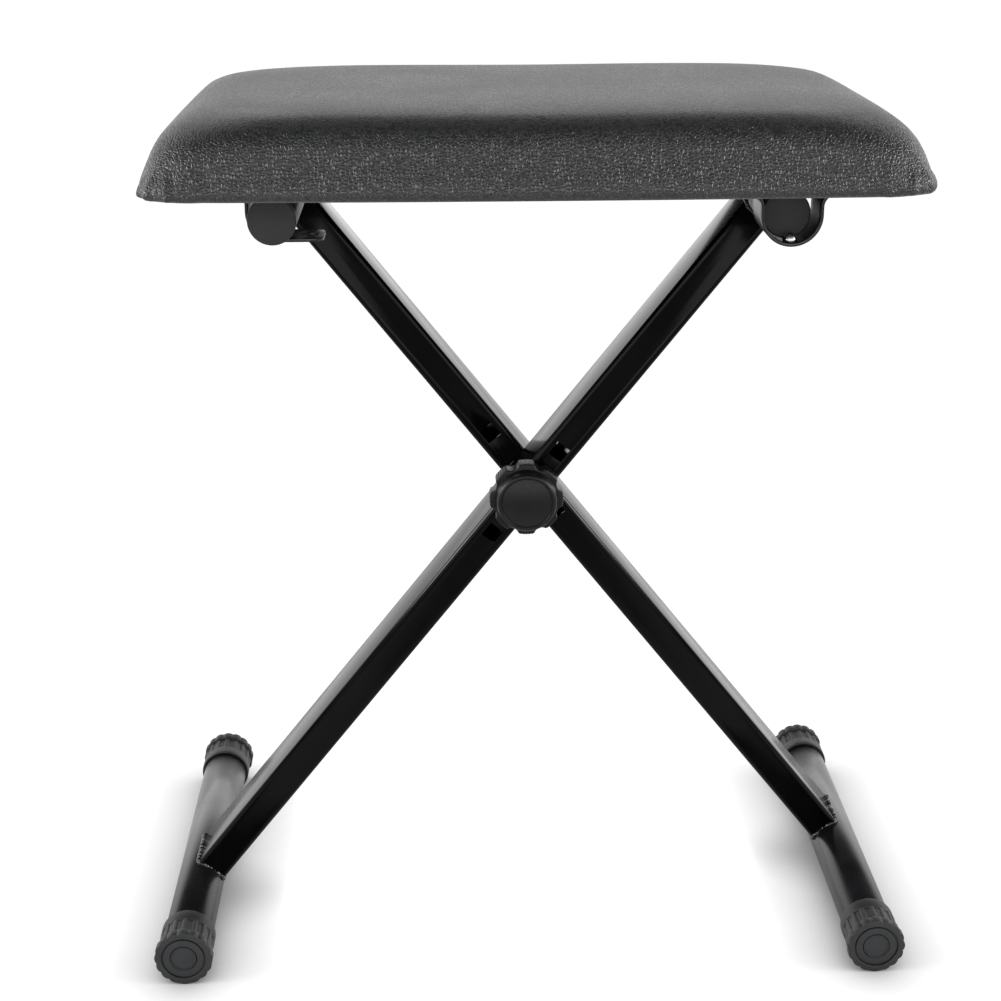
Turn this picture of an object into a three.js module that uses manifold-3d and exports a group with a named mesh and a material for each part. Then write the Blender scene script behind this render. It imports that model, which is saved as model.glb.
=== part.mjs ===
// Folding X-frame piano bench: a padded seat on two crossed legs of rectangular tube.
// Each leg carries a round foot tube at the bottom and a round seat tube at the top. The legs
// cross at a carriage bolt with a hand knob, and square holes above and below it set the height.
// The right seat tube turns in two strap brackets, and the left one drops into two open hooks.
// Millimetres. +X right, +Y back, +Z up; the origin is on the floor, under the middle.

import * as THREE from 'three';
import { mergeVertices } from 'three/addons/utils/BufferGeometryUtils.js';
import Module from 'manifold-3d';

const wasm = await Module();
wasm.setup();

// ---------------------------------------------------------------- driving dimensions

const GAP = 0.3; // air left between two pieces that touch on the real bench

const footSpacing = 400; // between the axes of the two foot tubes
const topSpacing = 270; // between the axes of the two seat tubes
const rise = 421; // from the foot tube axes up to the seat tube axes

const foot = { tubeRadius: 14, wall: 1.5, length: 267 }; // length: over both caps
const footCap = {
  length: 28, face: 3.2, flange: 6, lobes: 16, lobeDepth: 0.9, bandLength: 9, chamfer: 0.8,
  flangePast: 2.8, bandPast: 1.7, waistPast: 1.1, // past the tube's outside
  grooveInside: 1.1, grooveWidth: 1.1, grooveDepth: 0.8, discShare: 0.52, discSink: 0.4,
};

const topTube = { radius: 12.7, wall: 1.5, leftLength: 216, rightLength: 200 };
const plug = { lip: 0.2, thickness: 3, edge: 0.9, stemLength: 14, stemWall: 1.6 };

const arm = { width: 19, depth: 38, wall: 1.5, corner: 3 };
const armGap = 1.6; // between the facing sides of the two legs, filled by a washer
const crossOffset = -10; // y of the plane between the legs
const hole = { play: 0.7, spacing: 31 }; // square adjusting holes: play round the bolt's neck

const bolt = { radius: 3.95, headHeight: 4.4, neckLength: 4.5 };
const boltPast = { neck: 0.2, nut: 2.55, head: 5.05, washer: 7.05, spacer: 5.2 }; // past its thread
const washerThickness = 1.6;
const nutHeight = 6.5;
const knob = {
  depth: 17.6, skirt: 10.6, lobeRadius: 21.3, lobes: 8, notchRadius: 4.6, notchDepth: 2.4,
  faceRadius: 16.2, faceSink: 0.5, rim: 2.2, rimStep: 0.8, shoulderRadius: 17.6, endWall: 3.4,
};

const seat = {
  width: 407, depth: 296, height: 41.5, shift: 3, // shift: seat middle right of the frame's
  corner: 18, topCorner: 45, lean: 9, topRound: 20, bottomRound: 4, // corners seen from above
  cover: 1.2, hem: 24, board: 12, liner: 0.6, linerOverlap: 8,
};

// Each bracket is a strap bent round its tube and welded under a flat plate that the tube bears on.
const plate = { thickness: 2, reach: 15 }; // reach: past the hooked tube's axis
const strap = { thickness: 1.5, width: 30, play: 2, fillet: 7, ear: 17, corner: 5 };
const swivel = { past: 10, play: 0.35 }; // strap past the tube's end; least play round the plug
// Hooks sit this far in from the tube's ends; their lips reach past its axis.
const hook = { inset: 28, lip: 25, lipHole: 3, lipEdge: 3.5 };
const screw = { radius: 2.2, length: 15, headRadius: 4.7, headHeight: 2.4, inset: 8 };
const rivet = { radius: 2.2, headRadius: 4, headHeight: 5.2 };

// ---------------------------------------------------------------- derived sizes and places

const capRadius = foot.tubeRadius + footCap.flangePast;
const plugRadius = topTube.radius + plug.lip;
const neckSide = 2 * (bolt.radius + boltPast.neck);
const holeSide = neckSide + hole.play;
const nutAcross = 2 * (bolt.radius + boltPast.nut);

const footZ = capRadius;
const topZ = footZ + rise;
const tilt = Math.atan2(rise, (footSpacing + topSpacing) / 2); // of each leg above the floor
const legLength = rise / Math.sin(tilt); // foot tube axis to seat tube axis
const belowPivot = legLength * footSpacing / (footSpacing + topSpacing);
const pivotZ = footZ + belowPivot * Math.sin(tilt);

const frontArmY = crossOffset - armGap / 2 - arm.depth / 2;
const rearArmY = crossOffset + armGap / 2 + arm.depth / 2;
const armFront = frontArmY - arm.depth / 2;
const armBack = rearArmY + arm.depth / 2;

const plateZ = topZ + topTube.radius + GAP; // plates bear on the seat tubes
const seatZ = plateZ + plate.thickness + GAP;
const hemZ = seatZ + seat.liner + GAP;
const boardZ = hemZ + seat.cover + GAP;
const foamZ = boardZ + seat.board + GAP;

const knobBack = armFront - washerThickness - 2 * GAP;
const knobFront = knobBack - knob.depth;

// ---------------------------------------------------------------- solids

// A closed mesh with its shared vertices merged, as a solid that can be cut and joined.
function toSolid(geometry) {
  const bare = geometry.clone();
  bare.deleteAttribute('normal');
  bare.deleteAttribute('uv');
  const merged = mergeVertices(bare, 1e-4);
  const mesh = new wasm.Mesh({
    numProp: 3,
    vertProperties: new Float32Array(merged.attributes.position.array),
    triVerts: new Uint32Array(merged.index.array),
  });
  return new wasm.Manifold(mesh);
}

function toGeometry(solid) {
  const mesh = solid.getMesh();
  const geometry = new THREE.BufferGeometry();
  geometry.setAttribute('position', new THREE.BufferAttribute(mesh.vertProperties, 3));
  geometry.setIndex(new THREE.BufferAttribute(mesh.triVerts, 1));
  return geometry;
}

function cut(body, ...tools) {
  return toGeometry(tools.reduce((solid, tool) => solid.subtract(toSolid(tool)), toSolid(body)));
}

function join(body, ...others) {
  return toGeometry(others.reduce((solid, other) => solid.add(toSolid(other)), toSolid(body)));
}

function common(body, other) {
  return toGeometry(toSolid(body).intersect(toSolid(other)));
}

// ---------------------------------------------------------------- shapes

// An outline drawn in X and Z, pushed along Y from `from` to `to`.
function alongY(shape, from, to) {
  const options = { depth: to - from, bevelEnabled: false };
  return new THREE.ExtrudeGeometry(shape, options).rotateX(Math.PI / 2).translate(0, to, 0);
}

// An outline drawn in X and Y, pushed up from `from` to `to`.
function alongZ(shape, from, to, curveSegments = 3) {
  const options = { depth: to - from, bevelEnabled: false, curveSegments };
  return new THREE.ExtrudeGeometry(shape, options).translate(0, 0, from);
}

function rod(radius, from, to, segments = 24) {
  return new THREE.CylinderGeometry(radius, radius, to - from, segments)
    .translate(0, (from + to) / 2, 0);
}

function upright(radius, from, to, segments = 12) {
  return rod(radius, from, to, segments).rotateX(Math.PI / 2);
}

function box(sizeX, sizeY, sizeZ) {
  return new THREE.BoxGeometry(sizeX, sizeY, sizeZ);
}

// A profile of [radius, y] pairs turned about the Y axis.
function turned(profile, segments = 24) {
  return new THREE.LatheGeometry(profile.map(([r, y]) => new THREE.Vector2(r, y)), segments);
}

function roundedRect(width, height, radius) {
  const x = width / 2;
  const y = height / 2;
  const shape = new THREE.Shape();
  shape.moveTo(x, y - radius).absarc(x - radius, y - radius, radius, 0, Math.PI / 2);
  shape.absarc(radius - x, y - radius, radius, Math.PI / 2, Math.PI);
  shape.absarc(radius - x, radius - y, radius, Math.PI, 1.5 * Math.PI);
  shape.absarc(x - radius, radius - y, radius, 1.5 * Math.PI, 2 * Math.PI);
  return shape;
}

// A disc whose rim waves in and out, one lobe always at the very bottom.
function lobedDisc(radius, lobes, depth, pointsPerLobe = 4) {
  const count = lobes * pointsPerLobe;
  const points = Array.from({ length: count }, (_, i) => {
    const turn = 2 * Math.PI * i / count;
    const r = radius - depth * (0.5 - 0.5 * Math.cos(lobes * (turn + Math.PI / 2)));
    return new THREE.Vector2(r * Math.cos(turn), r * Math.sin(turn));
  });
  return new THREE.Shape(points);
}

// Both sides of a bent strip: its middle line drawn in X and Z, with the sheet's thickness.
function strip(middle, thickness) {
  const side = (sign) => middle.map((point, i) => {
    const before = middle[Math.max(i - 1, 0)];
    const after = middle[Math.min(i + 1, middle.length - 1)];
    const along = new THREE.Vector2().subVectors(after, before).normalize();
    const across = new THREE.Vector2(-along.y, along.x).multiplyScalar(sign * thickness / 2);
    return new THREE.Vector2().addVectors(point, across);
  });
  return new THREE.Shape([...side(-1), ...side(1).reverse()]);
}

// Points on an arc, both ends included; angles in degrees, anticlockwise from +X.
function arc(x, z, radius, start, end, count = 8) {
  return Array.from({ length: count + 1 }, (_, i) => {
    const turn = THREE.MathUtils.degToRad(start + (end - start) * i / count);
    return new THREE.Vector2(x + radius * Math.cos(turn), z + radius * Math.sin(turn));
  });
}

// A cushion shape: one rounded rectangle per [inset, z, corner radius] step of its side, closed
// top and bottom.
function pad(width, depth, steps) {
  const ring = ([inset, z, corner]) => {
    const edge = roundedRect(width - 2 * inset, depth - 2 * inset, corner);
    return edge.getPoints(4).slice(0, -1).map((p) => [p.x, p.y, z]);
  };
  const rings = steps.map(ring);
  const count = rings[0].length;
  const positions = [[0, 0, steps[0][1]], ...rings.flat(), [0, 0, steps.at(-1)[1]]].flat();
  const top = positions.length / 3 - 1;
  const index = [];
  for (let i = 0; i < count; i += 1) {
    const next = (i + 1) % count;
    index.push(0, 1 + next, 1 + i);
    index.push(top, top - count + i, top - count + next);
    for (let r = 0; r < rings.length - 1; r += 1) {
      const low = 1 + r * count;
      const high = low + count;
      index.push(low + i, low + next, high + next, low + i, high + next, high + i);
    }
  }
  const geometry = new THREE.BufferGeometry();
  geometry.setAttribute('position', new THREE.BufferAttribute(new Float32Array(positions), 3));
  geometry.setIndex(index);
  return geometry;
}

// The seat's corner radius, which grows from its bottom edge to its top.
function cornerAt(z) {
  const share = (z - hemZ) / (seatZ + seat.height - hemZ);
  return THREE.MathUtils.lerp(seat.corner, seat.topCorner, share);
}

// The side of the seat, rounded under, leaning in and rounded over the top, `skin` in from its
// outside: [inset, z, corner radius] steps.
function cushionSide(bottom, top, skin) {
  const { lean, topRound, bottomRound } = seat;
  const under = Math.max(bottomRound - skin, 0.5);
  const over = topRound - skin;
  const side = arc(under, bottom + under, under, 270, 180, 3).map((p) => [p.x, p.y]);
  side.push(...arc(lean + over, top - over, over, 180, 90, 5).map((p) => [p.x, p.y]));
  return side.map(([inset, z]) => [skin + inset, z, cornerAt(z) - skin]);
}

// ---------------------------------------------------------------- finishes

const finish = (color, roughness, metalness = 0) => ({ color, roughness, metalness });
const leather = finish('#232325', 0.55);
const enamel = finish('#0e0e10', 0.25, 0.3);
const plastic = finish('#4a4b4d', 0.6);
const blackPlastic = finish('#1f2022', 0.5);
const steel = finish('#b9bcc0', 0.3, 0.9);
const plywood = finish('#b08a5a', 0.8);
const foamLook = finish('#d8cf9e', 0.95);
const nylon = finish('#e6e4dc', 0.5);
const fleece = finish('#18181a', 0.95);

const bench = new THREE.Group();

function add(name, geometry, look, x = 0, y = 0, z = 0) {
  const mesh = new THREE.Mesh(geometry, new THREE.MeshStandardMaterial(look));
  mesh.name = name;
  mesh.position.set(x, y, z);
  bench.add(mesh);
  return mesh;
}

// ---------------------------------------------------------------- legs

// A leg's rectangular tube, its length along X from the foot tube's axis to the seat tube's.
function armTube() {
  const section = roundedRect(arm.width, arm.depth, arm.corner);
  const twoWalls = 2 * arm.wall;
  section.holes.push(
    roundedRect(arm.width - twoWalls, arm.depth - twoWalls, arm.corner - arm.wall),
  );
  const tube = alongZ(section, 0, legLength, 2).rotateY(Math.PI / 2);
  const holes = [-1, 0, 1].map((step) => box(holeSide, arm.depth + 2, holeSide)
    .translate(belowPivot + step * hole.spacing, 0, 0));
  const footSeat = rod(foot.tubeRadius + GAP, -arm.depth, arm.depth, 40);
  const topSeat = rod(topTube.radius + GAP, -arm.depth, arm.depth, 40).translate(legLength, 0, 0);
  return cut(tube, footSeat, topSeat, ...holes);
}

add('front_arm', armTube().rotateY(-tilt), enamel, -footSpacing / 2, frontArmY, footZ);
add('rear_arm', armTube().rotateY(tilt - Math.PI), enamel, footSpacing / 2, rearArmY, footZ);

function pipe(radius, wall, length) {
  const inside = rod(radius - wall, -length / 2 - 1, length / 2 + 1, 32);
  return cut(rod(radius, -length / 2, length / 2, 32), inside);
}

// ---------------------------------------------------------------- foot tubes and caps

// A foot cap in place on the front end of a foot tube, its face towards -Y at y = 0.
function makeFootCap() {
  const c = footCap;
  const disc = foot.tubeRadius * c.discShare;
  const groove = foot.tubeRadius - c.grooveInside;
  const waist = foot.tubeRadius + c.waistPast;
  const band = foot.tubeRadius + c.bandPast;
  const flange = alongY(lobedDisc(capRadius, c.lobes, c.lobeDepth), c.chamfer, c.flange);
  const body = turned([
    [0, c.discSink], [disc, c.discSink], [disc, 0], [groove - c.grooveWidth, 0],
    [groove - c.grooveWidth, c.grooveDepth], [groove, c.grooveDepth], [groove, 0], [waist, 0],
    [waist, c.length - c.bandLength], [band, c.length - c.bandLength + c.chamfer],
    [band, c.length - c.chamfer], [band - c.chamfer, c.length], [0, c.length],
  ], 32);
  const bore = rod(foot.tubeRadius + GAP, c.face, c.length + 1, 32);
  return cut(join(body, flange), bore);
}

const footTubeLength = foot.length - 2 * (footCap.face + GAP);
for (const [side, x] of [['left', -footSpacing / 2], ['right', footSpacing / 2]]) {
  add(`${side}_foot_tube`, pipe(foot.tubeRadius, foot.wall, footTubeLength), enamel, x, 0, footZ);
  add(`${side}_foot_cap_front`, makeFootCap(), plastic, x, -foot.length / 2, footZ);
  add(`${side}_foot_cap_back`, makeFootCap().rotateZ(Math.PI), plastic, x, foot.length / 2, footZ);
}

// ---------------------------------------------------------------- seat tubes and plugs

// A plug in place in the front end of a seat tube, its face towards -Y at y = 0.
function makePlug() {
  const p = plug;
  const stemRadius = topTube.radius - topTube.wall - GAP;
  const end = p.thickness + p.stemLength;
  return turned([
    [0, 0], [plugRadius - p.edge, 0], [plugRadius, p.edge], [plugRadius, p.thickness],
    [stemRadius, p.thickness], [stemRadius, end - p.edge], [stemRadius - p.edge / 2, end],
    [stemRadius - p.stemWall, end], [stemRadius - p.stemWall, p.thickness], [0, p.thickness],
  ], 28);
}

for (const [side, x, length] of [
  ['left', -topSpacing / 2, topTube.leftLength],
  ['right', topSpacing / 2, topTube.rightLength],
]) {
  const tubeLength = length - 2 * (plug.thickness + GAP);
  add(`${side}_seat_tube`, pipe(topTube.radius, topTube.wall, tubeLength), enamel, x, 0, topZ);
  add(`${side}_tube_plug_front`, makePlug(), plastic, x, -length / 2, topZ);
  add(`${side}_tube_plug_back`, makePlug().rotateZ(Math.PI), plastic, x, length / 2, topZ);
}

// ---------------------------------------------------------------- pivot bolt, washers and knob

// Carriage bolt: domed head behind the rear leg, square neck in its back wall, thread forward.
function makeBolt() {
  const headRadius = bolt.radius + boltPast.head;
  const headBack = armBack + GAP;
  const headSide = arc(0, 0, 1, 90, 0, 5)
    .map((p) => [headRadius * p.y, bolt.headHeight * p.x + headBack]);
  const head = turned([[0, headBack], ...headSide]);
  const neck = box(neckSide, bolt.neckLength + 1, neckSide)
    .rotateY(tilt)
    .translate(0, armBack + 0.5 - bolt.neckLength / 2, 0);
  const end = knobFront + knob.endWall + GAP;
  return join(head, neck, rod(bolt.radius, end, armBack + 1));
}
add('pivot_bolt', makeBolt(), steel, 0, 0, pivotZ);

function ringWasher(radius, from, to) {
  return cut(rod(radius, from, to, 32), rod(bolt.radius + GAP, from - 1, to + 1));
}
const spacerFront = crossOffset - armGap / 2 + GAP;
const spacerRadius = bolt.radius + boltPast.spacer;
add('leg_spacer_washer', ringWasher(spacerRadius, spacerFront, spacerFront + armGap - 2 * GAP),
  nylon, 0, 0, pivotZ);
const washerRadius = bolt.radius + boltPast.washer;
add('knob_washer', ringWasher(washerRadius, armFront - GAP - washerThickness, armFront - GAP),
  steel, 0, 0, pivotZ);

function hexagon(acrossFlats) {
  const corner = acrossFlats / Math.sqrt(3);
  return new THREE.Shape(arc(0, 0, corner, 0, 300, 5));
}

function makeKnob() {
  const k = knob;
  const skirtFront = knobBack - k.skirt;
  const skirt = rod(k.lobeRadius, skirtFront, knobBack, 64);
  const notchCentre = k.lobeRadius + k.notchRadius - k.notchDepth;
  const notches = Array.from({ length: k.lobes }, (_, i) => {
    const turn = 2 * Math.PI * (i + 0.5) / k.lobes;
    return rod(k.notchRadius, skirtFront - 1, knobBack + 1, 14)
      .translate(notchCentre * Math.cos(turn), 0, notchCentre * Math.sin(turn));
  });
  const rim = arc(k.faceRadius - k.rim, 0, k.rim, 90, 0, 4).map((p) => [p.x, knobFront + k.rim - p.y]);
  const face = turned([
    [0, knobFront + k.faceSink], [k.faceRadius - k.rim - k.rimStep, knobFront + k.faceSink], ...rim,
    [k.shoulderRadius, skirtFront], [k.shoulderRadius, knobBack - 1], [0, knobBack - 1],
  ], 40);
  const pocket = alongY(hexagon(nutAcross + 2 * GAP), knobBack - nutHeight - GAP, knobBack + 1);
  const bore = rod(bolt.radius + GAP, knobFront + k.endWall, knobBack + 1);
  return cut(join(cut(skirt, ...notches), face), pocket, bore);
}
add('height_knob', makeKnob(), blackPlastic, 0, 0, pivotZ);
add('knob_nut', cut(
  alongY(hexagon(nutAcross), knobBack - nutHeight, knobBack),
  rod(bolt.radius + GAP, knobBack - nutHeight - 1, knobBack + 1),
), steel, 0, 0, pivotZ);

// ---------------------------------------------------------------- seat brackets

const innerRadius = plugRadius + strap.play;
const bendRadius = innerRadius + strap.thickness / 2;
// The strap's bend is wider than the tube, which lies up and to the left in it.
const slack = strap.play - swivel.play;
const bendX = slack * Math.cos(Math.PI / 6);
const bendZ = slack * Math.sin(Math.PI / 6);
const weld = 0.05; // how far strap and plate run into each other
const earZ = plateZ + weld - strap.thickness / 2 - topZ; // middle of the ears, from the tube axis
const earEnd = bendRadius + strap.fillet + strap.ear;
const screwX = earEnd - screw.inset;

// Outline of a bracket seen from above, its corners rounded, from `low` to `high`.
function bracketBlank(left, right, low, high) {
  const shape = roundedRect(right - left, strap.width, strap.corner);
  return alongZ(shape, low, high, 2).translate((left + right) / 2, 0, 0);
}

function bracket(middle, left, right, plateRight) {
  const bent = alongY(strip(middle, strap.thickness), -strap.width / 2, strap.width / 2);
  const bottom = plateZ - topZ;
  const flat = bracketBlank(left, plateRight, bottom, bottom + plate.thickness);
  return join(common(bent, bracketBlank(left, right, -2 * bendRadius, 2 * bendRadius)), flat);
}

function screwHole(x, y) {
  return upright(screw.radius + GAP, 0, 2 * bendRadius).translate(x, y, 0);
}

// Strap bent round the right seat tube, an ear under the seat on each side, from its tube axis.
function makeSwivelStrap() {
  const [x, z] = [bendX, bendZ];
  const f = strap.fillet;
  const middle = [
    new THREE.Vector2(x - earEnd, earZ),
    ...arc(x - bendRadius - f, earZ - f, f, 90, 0, 5),
    ...arc(x, z, bendRadius, 180, 360, 18),
    ...arc(x + bendRadius + f, earZ - f, f, 180, 90, 5),
    new THREE.Vector2(x + earEnd, earZ),
  ];
  return bracket(middle, x - earEnd, x + earEnd, x + earEnd);
}

// Hook for the left seat tube: an ear outside, a bend under the tube and a flat open lip.
function makeHook() {
  const f = strap.fillet;
  const middle = [
    new THREE.Vector2(-earEnd, earZ),
    ...arc(-bendRadius - f, earZ - f, f, 90, 0, 5),
    ...arc(0, 0, bendRadius, 180, 270, 10),
    new THREE.Vector2(hook.lip, -bendRadius),
  ];
  const lipHole = upright(hook.lipHole, -2 * bendRadius, 0)
    .translate(hook.lip - hook.lipHole - hook.lipEdge, 0, 0);
  return cut(bracket(middle, -earEnd, hook.lip, plate.reach), lipHole);
}

// Dome-headed rivet on the strap's floor, just past the tube's end, that keeps the tube in.
function makeRivet() {
  const [x, z] = [bendX, bendZ];
  const base = z - innerRadius + GAP;
  const dome = arc(0, 0, 1, 0, 90, 5).map((p) => [rivet.headRadius * p.x, rivet.headHeight * p.y]);
  const head = turned([[0, -2], [rivet.headRadius, -2], ...dome], 16)
    .rotateX(Math.PI / 2).translate(x, 0, base);
  const inside = rod(innerRadius - GAP, -2 * rivet.headRadius, 2 * rivet.headRadius, 48)
    .translate(x, 0, z);
  const shank = upright(rivet.radius, base - GAP - strap.thickness, base + 1).translate(x, 0, 0);
  return join(common(head, inside), shank);
}

const swivelY = topTube.rightLength / 2 + swivel.past - strap.width / 2;
const hookY = topTube.leftLength / 2 - hook.inset - strap.width / 2;
const rivetY = topTube.rightLength / 2 + 2 * GAP + rivet.headRadius;
const rivetHole = upright(rivet.radius + GAP, -2 * bendRadius, 0).translate(bendX, 0, 0);
const leftX = -topSpacing / 2;
const rightX = topSpacing / 2;
const screwPlaces = [];

for (const [end, sign] of [['front', -1], ['back', 1]]) {
  const hookScrews = [-1, 1].map((side) => [-screwX, side * (strap.width / 2 - screw.inset)]);
  const hookHoles = hookScrews.map(([x, y]) => screwHole(x, y));
  add(`hook_bracket_${end}`, cut(makeHook(), ...hookHoles), enamel, leftX, sign * hookY, topZ);
  hookScrews.forEach(([x, y], i) => {
    screwPlaces.push([`hook_screw_${end}_${i + 1}`, leftX + x, sign * hookY + y]);
  });

  const strapScrews = [-1, 1].map((side) => [bendX + side * screwX, 0]);
  const strapHoles = strapScrews.map(([x, y]) => screwHole(x, y));
  const rivetSeat = rivetHole.clone().translate(0, sign * (rivetY - swivelY), 0);
  add(`swivel_bracket_${end}`, cut(makeSwivelStrap(), ...strapHoles, rivetSeat), enamel,
    rightX, sign * swivelY, topZ);
  strapScrews.forEach(([x, y], i) => {
    screwPlaces.push([`swivel_screw_${end}_${i + 1}`, rightX + x, sign * swivelY + y]);
  });
  add(`tube_stop_rivet_${end}`, makeRivet(), steel, rightX, sign * rivetY, topZ);
}

// Pan-head screw up through an ear and its plate into the board, z = 0 under the ear.
function makeScrew() {
  const { radius: r, headRadius: hr, headHeight: hh } = screw;
  return turned([
    [0, -hh], [hr * 0.62, -hh], [hr * 0.9, -hh * 0.7], [hr, -hh * 0.3], [hr, -GAP], [r, -GAP],
    [r, screw.length - 1.5], [0.6, screw.length], [0, screw.length],
  ], 12).rotateX(Math.PI / 2);
}
const earBottom = topZ + earZ - strap.thickness / 2;
for (const [name, x, y] of screwPlaces) {
  add(name, makeScrew(), steel, x, y, earBottom);
}

// ---------------------------------------------------------------- seat

const seatX = seat.shift;
const screwClearances = (depth) => screwPlaces.map(([, x, y]) => {
  const top = earBottom + screw.length + GAP;
  return upright(screw.radius + GAP, seatZ - 1, Math.min(top, depth)).translate(x - seatX, y, 0);
});

// Outer cover: stretched over the foam and board, its hem turned in under the board.
function makeCover() {
  const { width, depth, corner, cover, hem, height } = seat;
  const outside = pad(width, depth, cushionSide(hemZ, seatZ + height, 0));
  const inside = pad(width, depth, cushionSide(hemZ + cover, seatZ + height - cover, cover));
  const opening = roundedRect(width - 2 * hem, depth - 2 * hem, corner / 2);
  return cut(outside, inside, alongZ(opening, hemZ - 1, hemZ + cover + 1));
}
add('seat_cover', makeCover(), leather, seatX);

// Width and depth of what fills the cover, one skin and one gap in from its outside.
const skin = seat.cover + GAP;
const insetAt = (z) => {
  const sideTop = seatZ + seat.height - seat.topRound;
  return skin + seat.lean * THREE.MathUtils.clamp((z - hemZ) / (sideTop - hemZ), 0, 1);
};

function makeFoam() {
  const side = cushionSide(foamZ, seatZ + seat.height - skin, skin)
    .filter(([, z]) => z > foamZ + seat.bottomRound);
  return pad(seat.width, seat.depth, [[insetAt(foamZ), foamZ, cornerAt(foamZ) - skin], ...side]);
}
add('seat_foam', makeFoam(), foamLook, seatX);

function makeBoard() {
  const inset = insetAt(boardZ + seat.board) + seat.bottomRound / 2;
  const corner = cornerAt(boardZ + seat.board);
  const edge = roundedRect(seat.width - 2 * inset, seat.depth - 2 * inset, corner);
  return cut(
    alongZ(edge, boardZ, boardZ + seat.board),
    ...screwClearances(boardZ + seat.board - 1),
  );
}
add('seat_board', makeBoard(), plywood, seatX);

function makeLiner() {
  const inset = seat.hem - seat.linerOverlap;
  const edge = roundedRect(seat.width - 2 * inset, seat.depth - 2 * inset, seat.corner / 2);
  return cut(alongZ(edge, seatZ, seatZ + seat.liner), ...screwClearances(boardZ));
}
add('seat_dust_cover', makeLiner(), fleece, seatX);

export default bench;
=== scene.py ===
"""Looks of a folding X-frame piano bench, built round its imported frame. Metres, +Z up, front towards -Y."""

import math

import bmesh
import bpy
import numpy as np
from mathutils import Matrix, Vector


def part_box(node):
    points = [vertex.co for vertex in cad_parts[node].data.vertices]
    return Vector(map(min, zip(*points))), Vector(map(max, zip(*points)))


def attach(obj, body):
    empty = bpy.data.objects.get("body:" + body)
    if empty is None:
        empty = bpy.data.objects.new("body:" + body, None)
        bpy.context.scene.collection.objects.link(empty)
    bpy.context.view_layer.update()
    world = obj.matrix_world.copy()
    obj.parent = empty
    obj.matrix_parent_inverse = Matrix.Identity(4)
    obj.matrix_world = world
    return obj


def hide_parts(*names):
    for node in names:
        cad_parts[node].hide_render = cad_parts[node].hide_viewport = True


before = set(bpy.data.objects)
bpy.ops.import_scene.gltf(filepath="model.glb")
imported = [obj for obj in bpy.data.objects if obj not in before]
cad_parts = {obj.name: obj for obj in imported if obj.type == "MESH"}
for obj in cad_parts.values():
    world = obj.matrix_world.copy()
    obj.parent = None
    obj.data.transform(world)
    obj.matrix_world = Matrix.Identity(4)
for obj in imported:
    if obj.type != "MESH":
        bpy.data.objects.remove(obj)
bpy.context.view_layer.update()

MM = 0.001
GAP = 0.3 * MM
UP = Vector((0, 0, 1))
BACK = Vector((0, 1, 0))


# ------------------------------------------------------------------ places and sizes from the frame


def centre(node):
    low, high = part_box(node)
    return (low + high) / 2


def extent(node):
    low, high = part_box(node)
    return high - low


LEFT_FOOT, RIGHT_FOOT = centre("left_foot_tube"), centre("right_foot_tube")
LEFT_TOP, RIGHT_TOP = centre("left_seat_tube"), centre("right_seat_tube")
PIVOT = centre("knob_washer")
FOOT_RADIUS = extent("left_foot_tube").x / 2
TOP_RADIUS = extent("left_seat_tube").x / 2
TUBE_WALL = 1.5 * MM

LEG_WIDTH = 19 * MM
LEG_CORNER = 3 * MM
HOLE_SIDE = 9 * MM
HOLE_SPACING = 31 * MM


# ------------------------------------------------------------------ colours and node trees


def linear(hex_colour):
    """An sRGB hex colour as linear RGBA."""
    parts = [int(hex_colour[i : i + 2], 16) / 255 for i in (1, 3, 5)]
    return [c / 12.92 if c <= 0.04045 else ((c + 0.055) / 1.055) ** 2.4 for c in parts] + [1.0]


def node(tree, kind, links=None, inputs=None, **settings):
    """Adds a node: its settings, its input values, and links from (node, output) pairs."""
    made = tree.nodes.new(kind)
    for name, value in settings.items():
        setattr(made, name, value)
    for name, value in (inputs or {}).items():
        made.inputs[name].default_value = value
    for name, (source, output) in (links or {}).items():
        tree.links.new(source.outputs[output], made.inputs[name])
    return made


def material(name, **shader):
    """A material with one Principled shader; returns it, its tree, the shader and the link that gives
    a texture object coordinates."""
    made = bpy.data.materials.new(name)
    made.use_nodes = True
    tree = made.node_tree
    tree.nodes.clear()
    surface = node(tree, "ShaderNodeBsdfPrincipled", inputs=shader)
    out = node(tree, "ShaderNodeOutputMaterial")
    tree.links.new(surface.outputs["BSDF"], out.inputs["Surface"])
    return made, tree, surface, {"Vector": (node(tree, "ShaderNodeTexCoord"), "Object")}


def spread(ramp, low, high, colours):
    """Sets a ramp's stops: two or more colours from low to high."""
    stops = ramp.color_ramp.elements
    while len(stops) < len(colours):
        stops.new(0.5)
    for i, colour in enumerate(colours):
        stops[i].position = low + (high - low) * i / (len(colours) - 1)
        stops[i].color = colour
    return ramp


def grey(value):
    return [value, value, value, 1.0]


def dress(tree, surface, height, strength, depth, ramps):
    """Gives a shader its bump, and one ramp for each (shader input, source, low, high, colours)."""
    bump = node(tree, "ShaderNodeBump", {"Height": height}, {"Strength": strength, "Distance": depth})
    tree.links.new(bump.outputs["Normal"], surface.inputs["Normal"])
    for socket, source, low, high, colours in ramps:
        ramp = spread(node(tree, "ShaderNodeValToRGB", {"Fac": source}), low, high, colours)
        tree.links.new(ramp.outputs["Color"], surface.inputs[socket])


# ------------------------------------------------------------------ materials


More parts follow.
